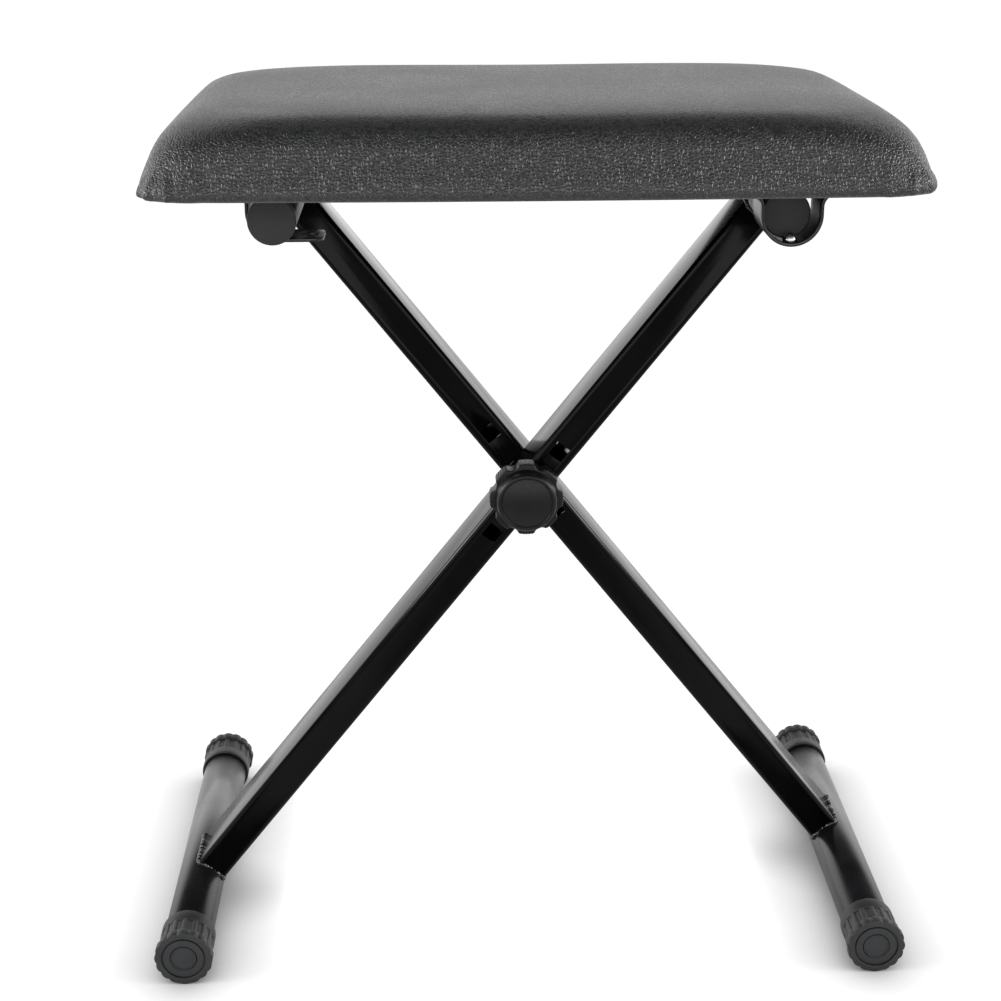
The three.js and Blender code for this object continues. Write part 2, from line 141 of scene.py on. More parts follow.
def soft_pvc_leather():
    """Embossed PVC-coated cloth: pressed pebbles under 2 mm across with fine creases between them, a broad
    satin sheen on the crowns and a duller look in the creases; its colour is painted shade, darker in the
    creases, and a painted highlight, lighter on the crowns."""
    made, tree, surface, at = material("pvc_leather", Roughness=0.42)
    surface.inputs["Specular IOR Level"].default_value = 0.6
    pebble = {"Scale": 1 / (1.9 * MM), "Randomness": 0.9}
    warp = node(tree, "ShaderNodeTexNoise", at, {"Scale": 1 / (6 * MM), "Detail": 2.0})
    bend = node(tree, "ShaderNodeVectorMath", {0: (warp, "Color")}, {"Scale": 2.6 * MM}, operation="SCALE")
    bent = node(tree, "ShaderNodeVectorMath", {0: at["Vector"], 1: (bend, 0)}, operation="ADD")
    pebbles = node(tree, "ShaderNodeTexVoronoi", {"Vector": (bent, 0)}, pebble, feature="DISTANCE_TO_EDGE")
    rise = {"Value": (pebbles, "Distance")}
    crown = node(tree, "ShaderNodeMapRange", rise, {"From Max": 0.28}, interpolation_type="SMOOTHSTEP")
    pores = node(tree, "ShaderNodeTexNoise", at, {"Scale": 1 / (0.5 * MM), "Detail": 2.0})
    layers = {0: (pores, "Fac"), 2: (crown, "Result")}
    height = node(tree, "ShaderNodeMath", layers, {1: 0.25}, operation="MULTIPLY_ADD")
    # Base colour follows the pebble crowns: painted shade darkens the creases and a painted highlight
    # lightens the crowns.
    tones = [linear("#050506"), linear("#222325")]
    ramps = [("Base Color", (crown, "Result"), 0.0, 1.0, tones)]
    dress(tree, surface, (height, "Value"), 0.9, 0.27 * MM, ramps)
    wear = node(tree, "ShaderNodeTexNoise", at, {"Scale": 1 / (60 * MM), "Detail": 3.0})
    gloss = node(tree, "ShaderNodeValToRGB", {"Fac": (wear, "Fac")})
    spread(gloss, 0.3, 0.7, [grey(0.36), grey(0.45)])
    shine = {"Value": (crown, "Result"), "To Max": (gloss, "Color")}
    dull = node(tree, "ShaderNodeMapRange", shine, {"To Min": 0.52})
    tree.links.new(dull.outputs["Result"], surface.inputs["Roughness"])
    return made


def black_powder_coat(name, dark, light, specular, roughness):
    """Black powder coat baked on steel tube: almost black, with reflections broken only by a slow
    orange-peel ripple about 4 mm long, and a few dust nibs."""
    made, tree, surface, at = material(name, Roughness=roughness)
    surface.inputs["Specular IOR Level"].default_value = specular
    peel = node(tree, "ShaderNodeTexNoise", at, {"Scale": 1 / (4 * MM), "Detail": 1.0})
    nibs = node(tree, "ShaderNodeTexVoronoi", at, {"Scale": 1 / (3 * MM), "Randomness": 1.0})
    nib_span = {"From Max": 0.06, "To Min": 1.0, "To Max": 0.0}
    nib = node(tree, "ShaderNodeMapRange", {"Value": (nibs, "Distance")}, nib_span)
    layers = {0: (nib, "Result"), 2: (peel, "Fac")}
    height = node(tree, "ShaderNodeMath", layers, {1: 0.5}, operation="MULTIPLY_ADD")
    haze = (node(tree, "ShaderNodeTexNoise", at, {"Scale": 1 / (35 * MM), "Detail": 3.0}), "Fac")
    ramps = [
        ("Roughness", haze, 0.3, 0.7, [grey(roughness - 0.03), grey(roughness + 0.04)]),
        ("Base Color", haze, 0.3, 0.7, [linear(dark), linear(light)]),
    ]
    dress(tree, surface, (height, "Value"), 0.12, 0.08 * MM, ramps)
    return made


def moulded_plastic(name, dark, light, specular, roughness, spark):
    """Injection-moulded polypropylene from a spark-eroded mould: matte, finely pitted about 0.5 mm,
    with slow flow marks that shift its tone a little."""
    made, tree, surface, at = material(name, Roughness=roughness)
    surface.inputs["Specular IOR Level"].default_value = specular
    pits = (node(tree, "ShaderNodeTexNoise", at, {"Scale": 1 / spark, "Detail": 3.0}), "Fac")
    flow = (node(tree, "ShaderNodeTexNoise", at, {"Scale": 1 / (9 * MM), "Detail": 3.0}), "Fac")
    ramps = [
        ("Base Color", flow, 0.3, 0.7, [linear(dark), linear(light)]),
        ("Roughness", pits, 0.3, 0.7, [grey(roughness - 0.06), grey(roughness + 0.08)]),
    ]
    dress(tree, surface, pits, 0.45, 0.06 * MM, ramps)
    return made


def zinc_plated_steel():
    """Bright zinc-plated steel: cool silver with a faint yellow cast in patches and fine tumbling marks."""
    made, tree, surface, at = material("zinc_plated_steel", Metallic=1.0, Roughness=0.28)
    patches = (node(tree, "ShaderNodeTexNoise", at, {"Scale": 1 / (6 * MM), "Detail": 4.0}), "Fac")
    marks = (node(tree, "ShaderNodeTexNoise", at, {"Scale": 1 / (0.4 * MM), "Detail": 2.0}), "Fac")
    ramps = [
        ("Base Color", patches, 0.35, 0.65, [linear("#9ba0a6"), linear("#c9c6bd")]),
        ("Roughness", patches, 0.35, 0.65, [grey(0.22), grey(0.38)]),
    ]
    dress(tree, surface, marks, 0.2, 0.03 * MM, ramps)
    return made


def plain_grained(name, dark, light, roughness, size, depth, stretch=(1, 1, 1)):
    """A matte material with one speckle: its grain size, its depth, and two close tones."""
    made, tree, surface, at = material(name, Roughness=roughness)
    turned = node(tree, "ShaderNodeMapping", at, {"Scale": stretch})
    grain = {"Scale": 1 / size, "Detail": 4.0}
    speckle = (node(tree, "ShaderNodeTexNoise", {"Vector": (turned, "Vector")}, grain), "Fac")
    tones = [linear(dark), linear(light)]
    dress(tree, surface, speckle, 0.6, depth, [("Base Color", speckle, 0.3, 0.7, tones)])
    return made


LEATHER = soft_pvc_leather()
LEG_COAT = black_powder_coat("gloss_powder_coat", "#020202", "#050506", 0.09, 0.15)
TUBE_COAT = black_powder_coat("satin_powder_coat", "#0a0a0b", "#111113", 0.5, 0.27)
CAP_PLASTIC = moulded_plastic("cap_polypropylene", "#121315", "#1a1b1d", 0.42, 0.55, 0.6 * MM)
KNOB_PLASTIC = moulded_plastic("knob_polypropylene", "#030304", "#070808", 0.24, 0.4, 0.8 * MM)
ZINC = zinc_plated_steel()
# Black nylon 6 sheet: dark, faintly mottled, with a dull sheen.
NYLON = plain_grained("nylon_sheet", "#0d0d0e", "#17181a", 0.5, 3 * MM, 0.02 * MM)
# Spunbond polypropylene fleece: black felt-like fibres with a dull, slightly open surface.
FLEECE = plain_grained("spunbond_fleece", "#0c0c0d", "#2a2b2d", 0.95, 0.7 * MM, 0.15 * MM)
# Flexible polyurethane foam: pale yellow, open cells about 1 mm across.
FOAM = plain_grained("polyurethane_foam", "#c9bd86", "#e5dcae", 0.95, 1 * MM, 0.3 * MM)
# Rotary-cut plywood: long tan grain along the seat, coarse and matte.
PLYWOOD = plain_grained("rotary_cut_plywood", "#94703f", "#c39a66", 0.8, 4 * MM, 0.1 * MM, (0.1, 1, 1))


# ------------------------------------------------------------------ mesh helpers


def to_object(name, mesh_or_bm):
    """A new object with this mesh, its faces pointing out."""
    if isinstance(mesh_or_bm, bmesh.types.BMesh):
        mesh = bpy.data.meshes.new(name)
        bmesh.ops.recalc_face_normals(mesh_or_bm, faces=mesh_or_bm.faces)
        mesh_or_bm.to_mesh(mesh)
        mesh_or_bm.free()
    else:
        mesh = mesh_or_bm
    made = bpy.data.objects.new(name, mesh)
    bpy.context.scene.collection.objects.link(made)
    return made


def baked(obj, name=None):
    """The object with its modifiers worked into a plain mesh."""
    depsgraph = bpy.context.evaluated_depsgraph_get()
    depsgraph.update()
    mesh = bpy.data.meshes.new_from_object(obj.evaluated_get(depsgraph))
    name = name or obj.name
    bpy.data.objects.remove(obj)
    made = bpy.data.objects.new(name, mesh)
    mesh.name = name
    made.name = name
    bpy.context.scene.collection.objects.link(made)
    return made


def with_modifier(obj, kind, **settings):
    modifier = obj.modifiers.new(kind.lower(), kind)
    for name, value in settings.items():
        setattr(modifier, name, value)
    return obj


def cut_away(obj, tools):
    """The object with each tool's volume taken out of it."""
    for tool in tools:
        with_modifier(obj, "BOOLEAN", operation="DIFFERENCE", object=tool, solver="EXACT")
    made = baked(obj)
    for tool in tools:
        bpy.data.objects.remove(tool)
    return made


def smooth(obj, angle=35):
    """Smooth shading, with edges sharper than the angle kept crisp."""
    mesh = obj.data
    mesh.polygons.foreach_set("use_smooth", [True] * len(mesh.polygons))
    mesh.set_sharp_from_angle(angle=math.radians(angle))
    return obj


def rounded_edges(obj, width, angle=40, segments=2):
    with_modifier(
        obj,
        "BEVEL",
        width=width,
        segments=segments,
        limit_method="ANGLE",
        angle_limit=math.radians(angle),
        harden_normals=False,
    )
    return baked(obj)


def finish_piece(obj, body, look=None, replaces=()):
    """Gives a finished piece its material, its body and the CAD nodes it stands for."""
    if look is not None:
        obj.data.materials.clear()
        obj.data.materials.append(look)
    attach(obj, body)
    if replaces:
        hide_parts(*replaces)
    return obj


def prism(name, outline, start, end, along, across, up):
    """An outline of (a, b) points, a measured along `across` and b along `up`, pushed from start to
    end along the unit vector `along`."""
    bm = bmesh.new()
    rings = [
        [bm.verts.new(along * place + across * a + up * b) for a, b in outline]
        for place in (start, end)
    ]
    count = len(outline)
    for i in range(count):
        j = (i + 1) % count
        bm.faces.new((rings[0][i], rings[0][j], rings[1][j], rings[1][i]))
    bm.faces.new(rings[0])
    bm.faces.new(rings[1])
    return to_object(name, bm)


# the signs of a rectangle's corners, anticlockwise
CORNERS = ((1, 1), (-1, 1), (-1, -1), (1, -1))


def rounded_rect(width, height, radius, steps=6):
    """Points round a rectangle with rounded corners, anticlockwise."""
    points = []
    for k, (sx, sy) in enumerate(CORNERS):
        x, y = sx * (width / 2 - radius), sy * (height / 2 - radius)
        for i in range(steps + 1):
            turn = math.pi / 2 * (k + i / steps)
            points.append((x + radius * math.cos(turn), y + radius * math.sin(turn)))
    return points


def turned(name, profile, origin, steps=96, axis=BACK, closed=False):
    """A profile of (radius, distance along the axis) pairs turned about an axis through origin."""
    side = UP if abs(axis.z) < 0.5 else Vector((1, 0, 0))
    other = axis.cross(side)
    bm = bmesh.new()
    rings = []
    for radius, place in profile:
        if radius < 1e-7:
            rings.append([bm.verts.new(origin + axis * place)])
            continue
        ring = []
        for i in range(steps):
            turn = 2 * math.pi * i / steps
            out = side * math.cos(turn) + other * math.sin(turn)
            ring.append(bm.verts.new(origin + axis * place + out * radius))
        rings.append(ring)
    pairs = list(zip(rings, rings[1:]))
    if closed:
        pairs.append((rings[-1], rings[0]))
    for a, b in pairs:
        for i in range(steps):
            j = (i + 1) % steps
            corners = [a[i % len(a)], a[j % len(a)], b[j % len(b)], b[i % len(b)]]
            face = list(dict.fromkeys(corners))
            if len(face) > 2:
                bm.faces.new(face)
    return to_object(name, bm)


def rounded_step(radius, place, size, start, end, steps=5):
    """Points on a small arc of this size round (radius, place), from one angle to another, degrees."""
    turns = [math.radians(start + (end - start) * i / steps) for i in range(steps + 1)]
    return [(radius + size * math.cos(turn), place + size * math.sin(turn)) for turn in turns]


def joined(name, objects):
    """Several objects as one mesh."""
    bm = bmesh.new()
    for obj in objects:
        bm.from_mesh(obj.data)
    mesh = bpy.data.meshes.new(name)
    smooth_faces = [p.use_smooth for obj in objects for p in obj.data.polygons]
    bm.to_mesh(mesh)
    bm.free()
    for obj in objects:
        bpy.data.objects.remove(obj)
    made = to_object(name, mesh)
    mesh.polygons.foreach_set("use_smooth", smooth_faces)
    return made


def cad_copy(cad_node, name):
    """A CAD node's own mesh as a new piece, its loose triangles merged."""
    bm = bmesh.new()
    bm.from_mesh(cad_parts[cad_node].data)
    bmesh.ops.remove_doubles(bm, verts=bm.verts, dist=0.002 * MM)
    bmesh.ops.dissolve_limit(bm, angle_limit=math.radians(1), verts=bm.verts, edges=bm.edges)
    return to_object(name, bm)


# ------------------------------------------------------------------ geometry node trees


COUNTS = ("Groups", "Ribs per group", "Seed")


def geometry_tree(name, *sizes):
    """A geometry node tree with a geometry and a material input, a named input for each size (a whole
    number for the COUNTS), and a geometry output."""
    tree = bpy.data.node_groups.new(name, "GeometryNodeTree")
    tree.interface.new_socket("Geometry", in_out="INPUT", socket_type="NodeSocketGeometry")
    tree.interface.new_socket("Material", in_out="INPUT", socket_type="NodeSocketMaterial")
    for size in sizes:
        kind = "NodeSocketInt" if size in COUNTS else "NodeSocketFloat"
        tree.interface.new_socket(size, in_out="INPUT", socket_type=kind)
    tree.interface.new_socket("Geometry", in_out="OUTPUT", socket_type="NodeSocketGeometry")
    return tree, tree.nodes.new("NodeGroupInput"), tree.nodes.new("NodeGroupOutput")


def close_tree(tree, given, out, source, output):
    """Ends a tree: realize instances, set material, output."""
    real = node(tree, "GeometryNodeRealizeInstances", {"Geometry": (source, output)})
    dressing = {"Geometry": (real, "Geometry"), "Material": (given, "Material")}
    dressed = node(tree, "GeometryNodeSetMaterial", dressing)
    tree.links.new(dressed.outputs["Geometry"], out.inputs["Geometry"])


def grown(name, tree, base_mesh, look, values):
    """Runs a geometry tree on a mesh and returns the plain result."""
    obj = to_object(name, base_mesh)
    modifier = obj.modifiers.new("grow", "NODES")
    modifier.node_group = tree
    sockets = {s.name: s.identifier for s in tree.interface.items_tree if s.in_out == "INPUT"}
    modifier[sockets["Material"]] = look
    for key, value in values.items():
        modifier[sockets[key]] = value
    obj.update_tag()
    return baked(obj)


def mesh_of_points(name, points, edges=False):
    mesh = bpy.data.meshes.new(name)
    links = [(i, i + 1) for i in range(len(points) - 1)] if edges else []
    mesh.from_pydata([tuple(p) for p in points], links, [])
    return mesh


def rib_tree():
    """Bars with rounded backs set round an axis along Y, in equal groups."""
    sizes = ("Rib step", "First angle", "Ring radius", "Rib width", "Rib height", "Rib length")
    sizes = ("Groups", "Ribs per group", *sizes)
    tree, given, out = geometry_tree("ribs_round_a_hub", *sizes)
    terms = {size: (given, size) for size in sizes}
    terms["index"] = (node(tree, "GeometryNodeInputIndex"), "Index")
    for name, operation, *operands in (
        ("total", "MULTIPLY", "Groups", "Ribs per group"),
        ("which", "DIVIDE", "index", "Ribs per group"),
        ("group", "FLOOR", "which"),
        ("place", "MODULO", "index", "Ribs per group"),
        ("last", "SUBTRACT", "Ribs per group", 1.0),
        ("middle", "DIVIDE", "last", 2.0),
        ("from middle", "SUBTRACT", "place", "middle"),
        ("offset", "MULTIPLY", "from middle", "Rib step"),
        ("whole turns", "MULTIPLY", "group", 2 * math.pi),
        ("share", "DIVIDE", "whole turns", "Groups"),
        ("turned", "ADD", "share", "offset"),
        ("angle", "ADD", "turned", "First angle"),
        ("cosine", "COSINE", "angle"),
        ("sine", "SINE", "angle"),
        ("x", "MULTIPLY", "cosine", "Ring radius"),
        ("z", "MULTIPLY", "sine", "Ring radius"),
        ("tall", "MULTIPLY", "Rib height", 2.0),
        ("turn back", "MULTIPLY", "angle", -1.0),
    ):
        links = {i: terms[t] for i, t in enumerate(operands) if isinstance(t, str)}
        values = {i: t for i, t in enumerate(operands) if not isinstance(t, str)}
        terms[name] = (node(tree, "ShaderNodeMath", links, values, operation=operation), "Value")

    points = node(tree, "GeometryNodePoints", {"Count": terms["total"]})
    spot = node(tree, "ShaderNodeCombineXYZ", {"X": terms["x"], "Z": terms["z"]})
    at = {"Geometry": (points, "Points"), "Position": (spot, "Vector")}
    moved = node(tree, "GeometryNodeSetPosition", at)
    depth = {"Depth": terms["Rib length"]}
    rod = {"Vertices": 12, "Radius": 0.5}
    bar = node(tree, "GeometryNodeMeshCylinder", depth, rod, fill_type="NGON")
    flat = node(tree, "ShaderNodeCombineXYZ", {"X": terms["tall"], "Y": terms["Rib width"]}, {"Z": 1.0})
    sized = node(tree, "GeometryNodeTransform", {"Geometry": (bar, "Mesh"), "Scale": (flat, "Vector")})
    along_y = {"Rotation": (math.pi / 2, 0, 0)}
    laid = node(tree, "GeometryNodeTransform", {"Geometry": (sized, "Geometry")}, along_y)
    turn = node(tree, "ShaderNodeCombineXYZ", {"Y": terms["turn back"]})
    copies = {"Points": (moved, "Geometry"), "Instance": (laid, "Geometry"), "Rotation": (turn, "Vector")}
    set_round = node(tree, "GeometryNodeInstanceOnPoints", copies)
    close_tree(tree, given, out, set_round, "Instances")
    return tree


def bead_tree():
    """Overlapping drops of metal laid along a path, each a little different, as in a hand-run weld."""
    tree, given, out = geometry_tree("weld_bead", "Step", "Drop radius", "Unevenness", "Seed")
    seed = {"Seed": (given, "Seed")}
    path = node(tree, "GeometryNodeMeshToCurve", {"Mesh": (given, "Geometry")})
    even = {"Curve": (path, "Curve"), "Length": (given, "Step")}
    even = node(tree, "GeometryNodeResampleCurve", even, mode="LENGTH")
    both_ways = {0: (-1, -1, -1), 1: (1, 1, 1)}
    wobble = node(tree, "FunctionNodeRandomValue", seed, both_ways, data_type="FLOAT_VECTOR")
    shift = {0: (wobble, "Value"), "Scale": (given, "Unevenness")}
    shift = node(tree, "ShaderNodeVectorMath", shift, operation="SCALE")
    moved = {"Geometry": (even, "Curve"), "Offset": (shift, "Vector")}
    moved = node(tree, "GeometryNodeSetPosition", moved)
    drop = node(tree, "GeometryNodeMeshIcoSphere", {"Radius": (given, "Drop radius")}, {"Subdivisions": 3})
    size = node(tree, "FunctionNodeRandomValue", seed, {2: 0.82, 3: 1.15}, data_type="FLOAT")
    points = node(tree, "GeometryNodeCurveToPoints", {"Curve": (moved, "Geometry")}, mode="EVALUATED")
    copies = {"Points": (points, "Points"), "Instance": (drop, "Mesh"), "Scale": (size, 1)}
    laid = node(tree, "GeometryNodeInstanceOnPoints", copies)
    close_tree(tree, given, out, laid, "Instances")
    return tree


def screw_tree():
    """Pan-head screws with a cross recess, their heads hanging down from each point."""
    sizes = ("Head radius", "Head height", "Shank radius", "Shank length", "Recess width")
    tree, given, out = geometry_tree("pan_head_screws", *sizes)
    across, tall, length = (given, "Head radius"), (given, "Head height"), (given, "Shank length")
    ball = node(tree, "GeometryNodeMeshUVSphere", inputs={"Segments": 32, "Rings": 16, "Radius": 1.0})
    squash = node(tree, "ShaderNodeCombineXYZ", {"X": across, "Y": across, "Z": tall})
    dome = node(tree, "GeometryNodeTransform", {"Geometry": (ball, "Mesh"), "Scale": (squash, "Vector")})
    block = node(tree, "GeometryNodeMeshCube", inputs={"Size": (0.1, 0.1, 0.1)})
    raise_block = {"Translation": (0, 0, 0.05 - GAP)}
    above = node(tree, "GeometryNodeTransform", {"Geometry": (block, "Mesh")}, raise_block)
    slot_size = node(tree, "ShaderNodeCombineXYZ", {"X": (given, "Recess width"), "Y": across, "Z": tall})
    slot_one = node(tree, "GeometryNodeMeshCube", {"Size": (slot_size, "Vector")})
    drop = node(tree, "ShaderNodeMath", {0: tall}, {1: -1.0}, operation="MULTIPLY")
    down = node(tree, "ShaderNodeCombineXYZ", {"Z": (drop, "Value")})
    slot_low = {"Geometry": (slot_one, "Mesh"), "Translation": (down, "Vector")}
    slot_low = node(tree, "GeometryNodeTransform", slot_low)
    quarter = {"Rotation": (0, 0, math.pi / 2)}
    slot_two = node(tree, "GeometryNodeTransform", {"Geometry": (slot_low, "Geometry")}, quarter)
    head = node(tree, "GeometryNodeMeshBoolean", {"Mesh 1": (dome, "Geometry")}, operation="DIFFERENCE")
    for cutter in (above, slot_low, slot_two):
        tree.links.new(cutter.outputs[0], head.inputs["Mesh 2"])
    rod = {"Radius": (given, "Shank radius"), "Depth": length}
    shank = node(tree, "GeometryNodeMeshCylinder", rod, {"Vertices": 16})
    half = node(tree, "ShaderNodeMath", {0: length}, {1: 0.5}, operation="MULTIPLY")
    lift = node(tree, "ShaderNodeCombineXYZ", {"Z": (half, "Value")})
    raised = {"Geometry": (shank, "Mesh"), "Translation": (lift, "Vector")}
    raised = node(tree, "GeometryNodeTransform", raised)
    both = node(tree, "GeometryNodeJoinGeometry")
    tree.links.new(head.outputs["Mesh"], both.inputs[0])
    tree.links.new(raised.outputs["Geometry"], both.inputs[0])
    range_of_turns = {"Seed": 4, 0: (0, 0, 0), 1: (0, 0, math.pi / 2)}
    twist = node(tree, "FunctionNodeRandomValue", {}, range_of_turns, data_type="FLOAT_VECTOR")
    copies = {"Points": (given, "Geometry"), "Instance": (both, "Geometry"), "Rotation": (twist, "Value")}
    placed = node(tree, "GeometryNodeInstanceOnPoints", copies)
    close_tree(tree, given, out, placed, "Instances")
    return tree


def staple_tree():
    """Wire staples laid along a closed path, each flat against the board and a little askew."""
    tree, given, out = geometry_tree("staples_round_the_hem", "Spacing", "Crown", "Wire", "Skew", "Seed")
    path = node(tree, "GeometryNodeMeshToCurve", {"Mesh": (given, "Geometry")})
    points = {"Curve": (path, "Curve"), "Length": (given, "Spacing")}
    points = node(tree, "GeometryNodeCurveToPoints", points, mode="LENGTH")
    reach = node(tree, "ShaderNodeCombineXYZ", {"Z": (given, "Crown")})
    line = node(tree, "GeometryNodeCurvePrimitiveLine", {"End": (reach, "Vector")})
    ring = node(tree, "GeometryNodeCurvePrimitiveCircle", {"Radius": (given, "Wire")}, {"Resolution": 8})
    swept = {"Curve": (line, "Curve"), "Profile Curve": (ring, "Curve")}
    wire = node(tree, "GeometryNodeCurveToMesh", swept, {"Fill Caps": True})
    half = node(tree, "ShaderNodeMath", {0: (given, "Crown")}, {1: -0.5}, operation="MULTIPLY")
    back = node(tree, "ShaderNodeCombineXYZ", {"Z": (half, "Value")})
    middle = {"Geometry": (wire, "Mesh"), "Translation": (back, "Vector")}
    middle = node(tree, "GeometryNodeTransform", middle)
    about_z = {0: (0, 0, -1), 1: (0, 0, 1)}
    seed = {"Seed": (given, "Seed")}
    askew = node(tree, "FunctionNodeRandomValue", seed, about_z, data_type="FLOAT_VECTOR")
    tilt = {0: (askew, "Value"), "Scale": (given, "Skew")}
    tilt = node(tree, "ShaderNodeVectorMath", tilt, operation="SCALE")
    skewed = {"Rotation": (points, "Rotation"), "Rotate By": (tilt, "Vector")}
    skewed = node(tree, "FunctionNodeRotateRotation", skewed, rotation_space="GLOBAL")
    copies = {"Points": (points, "Points"), "Instance": (middle, "Geometry")}
    copies["Rotation"] = (skewed, "Rotation")
    placed = node(tree, "GeometryNodeInstanceOnPoints", copies)
    close_tree(tree, given, out, placed, "Instances")
    return tree


RIBS = rib_tree()
BEAD = bead_tree()
SCREWS = screw_tree()
STAPLES = staple_tree()


# ------------------------------------------------------------------ legs


def leg(name, cad_node, body, foot_axis, top_axis):
    """Rectangular tube from a foot tube to a seat tube, its three square holes punched right through."""
    low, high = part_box(cad_node)
    middle_y = (low.y + high.y) / 2
    depth = high.y - low.y
    start = Vector((foot_axis.x, middle_y, foot_axis.z))
    end = Vector((top_axis.x, middle_y, top_axis.z))
    along = (end - start).normalized()
    across = along.cross(BACK)
    length = (end - start).length

    def bar(tag, width, height, corner, first, last):
        return prism(tag, rounded_rect(width, height, corner), first, last, along, across, BACK)

    outer = bar(name, LEG_WIDTH, depth, LEG_CORNER, 0, length)
    both_walls = 2 * TUBE_WALL
    bore = (LEG_WIDTH - both_walls, depth - both_walls, LEG_CORNER - TUBE_WALL)
    inner = bar(name + "_bore", *bore, -0.01, length + 0.01)
    for piece in (outer, inner):
        piece.data.transform(Matrix.Translation(start))
    tools = [inner]
    for place, radius in ((start, FOOT_RADIUS), (end, TOP_RADIUS)):
        radius += GAP
        section = [(0, -depth), (radius, -depth), (radius, depth), (0, depth)]
        tools.append(turned(name + "_saddle", section, place))
    pivot = Vector((PIVOT.x, middle_y, PIVOT.z))
    square = [(HOLE_SIDE / 2 * a, HOLE_SIDE / 2 * b) for a, b in ((-1, -1), (1, -1), (1, 1), (-1, 1))]
    for step in (-1, 0, 1):
        punch = prism(name + "_punch", square, -depth, depth, BACK, along, across)
        punch.data.transform(Matrix.Translation(pivot + along * step * HOLE_SPACING))
        tools.append(punch)
    made = cut_away(outer, tools)
    made = rounded_edges(made, 0.35 * MM, angle=45)
    finish_piece(smooth(made, 30), body, LEG_COAT, [cad_node])
    return along, across, depth, middle_y


def weld(name, body, foot, along, across, depth, middle_y, tube_radius, seed, sign):
    """The bead round the saddle where a leg meets a round tube."""
    points = []
    outline = rounded_rect(LEG_WIDTH + 0.2 * MM, depth + 0.2 * MM, LEG_CORNER, 4)
    for a, b in outline + outline[:1]:
        reach = math.sqrt(max((tube_radius + 0.6 * MM) ** 2 - a * a, 0))
        points.append(Vector((foot.x, middle_y + b, foot.z)) + along * sign * reach + across * a)
    path = mesh_of_points(name, points, edges=True)
    drops = {"Step": 0.7 * MM, "Drop radius": 1.35 * MM, "Unevenness": 0.22 * MM, "Seed": seed}
    bead = grown(name, BEAD, path, TUBE_COAT, drops)
    with_modifier(bead, "REMESH", mode="VOXEL", voxel_size=0.4 * MM, use_smooth_shade=True)
    with_modifier(bead, "SMOOTH", factor=0.6, iterations=5)
    finish_piece(smooth(baked(bead), 180), body, TUBE_COAT)


front_leg = leg("front_leg", "front_arm", "root", LEFT_FOOT, RIGHT_TOP)
rear_leg = leg("rear_leg", "rear_arm", "rear_leg", RIGHT_FOOT, LEFT_TOP)
for tag, body, shape, foot_axis, top_axis in (
    ("front", "root", front_leg, LEFT_FOOT, RIGHT_TOP),
    ("rear", "rear_leg", rear_leg, RIGHT_FOOT, LEFT_TOP),
):
    weld(f"{tag}_foot_weld", body, foot_axis, *shape, FOOT_RADIUS, 3, 1)
    weld(f"{tag}_top_weld", body, top_axis, *shape, TOP_RADIUS, 8, -1)


# ------------------------------------------------------------------ round tubes


def round_tube(name, cad_node, body):
    """Thin-walled round tube, its cut ends slightly broken."""
    place = centre(cad_node)
    radius = extent(cad_node).x / 2
    half = extent(cad_node).y / 2
    inside = radius - TUBE_WALL
    edge = 0.3 * MM
    profile = [
        (inside, -half + edge),
        (inside + edge, -half),
        (radius - edge, -half),
        (radius, -half + edge),
        (radius, half - edge),
        (radius - edge, half),
        (inside + edge, half),
        (inside, half - edge),
    ]
    made = turned(name, profile, place, closed=True)
    finish_piece(smooth(made, 50), body, TUBE_COAT, [cad_node])


for side, foot_body, top_body in (("left", "root", "rear_leg"), ("right", "rear_leg", "root")):
    round_tube(f"{side}_foot_bar", f"{side}_foot_tube", foot_body)
    round_tube(f"{side}_seat_bar", f"{side}_seat_tube", top_body)


# ------------------------------------------------------------------ foot caps and plugs

CAP_LOBES = 16
CAP_FLANGE = 6 * MM
CAP_BAND = 9 * MM
CAP_BAND_RADIUS = 15.7 * MM
CAP_WAIST = 14.85 * MM
CAP_WALL = 3.2 * MM
CAP_HUB = 13.6 * MM
SCALLOP_DEPTH = 0.9 * MM


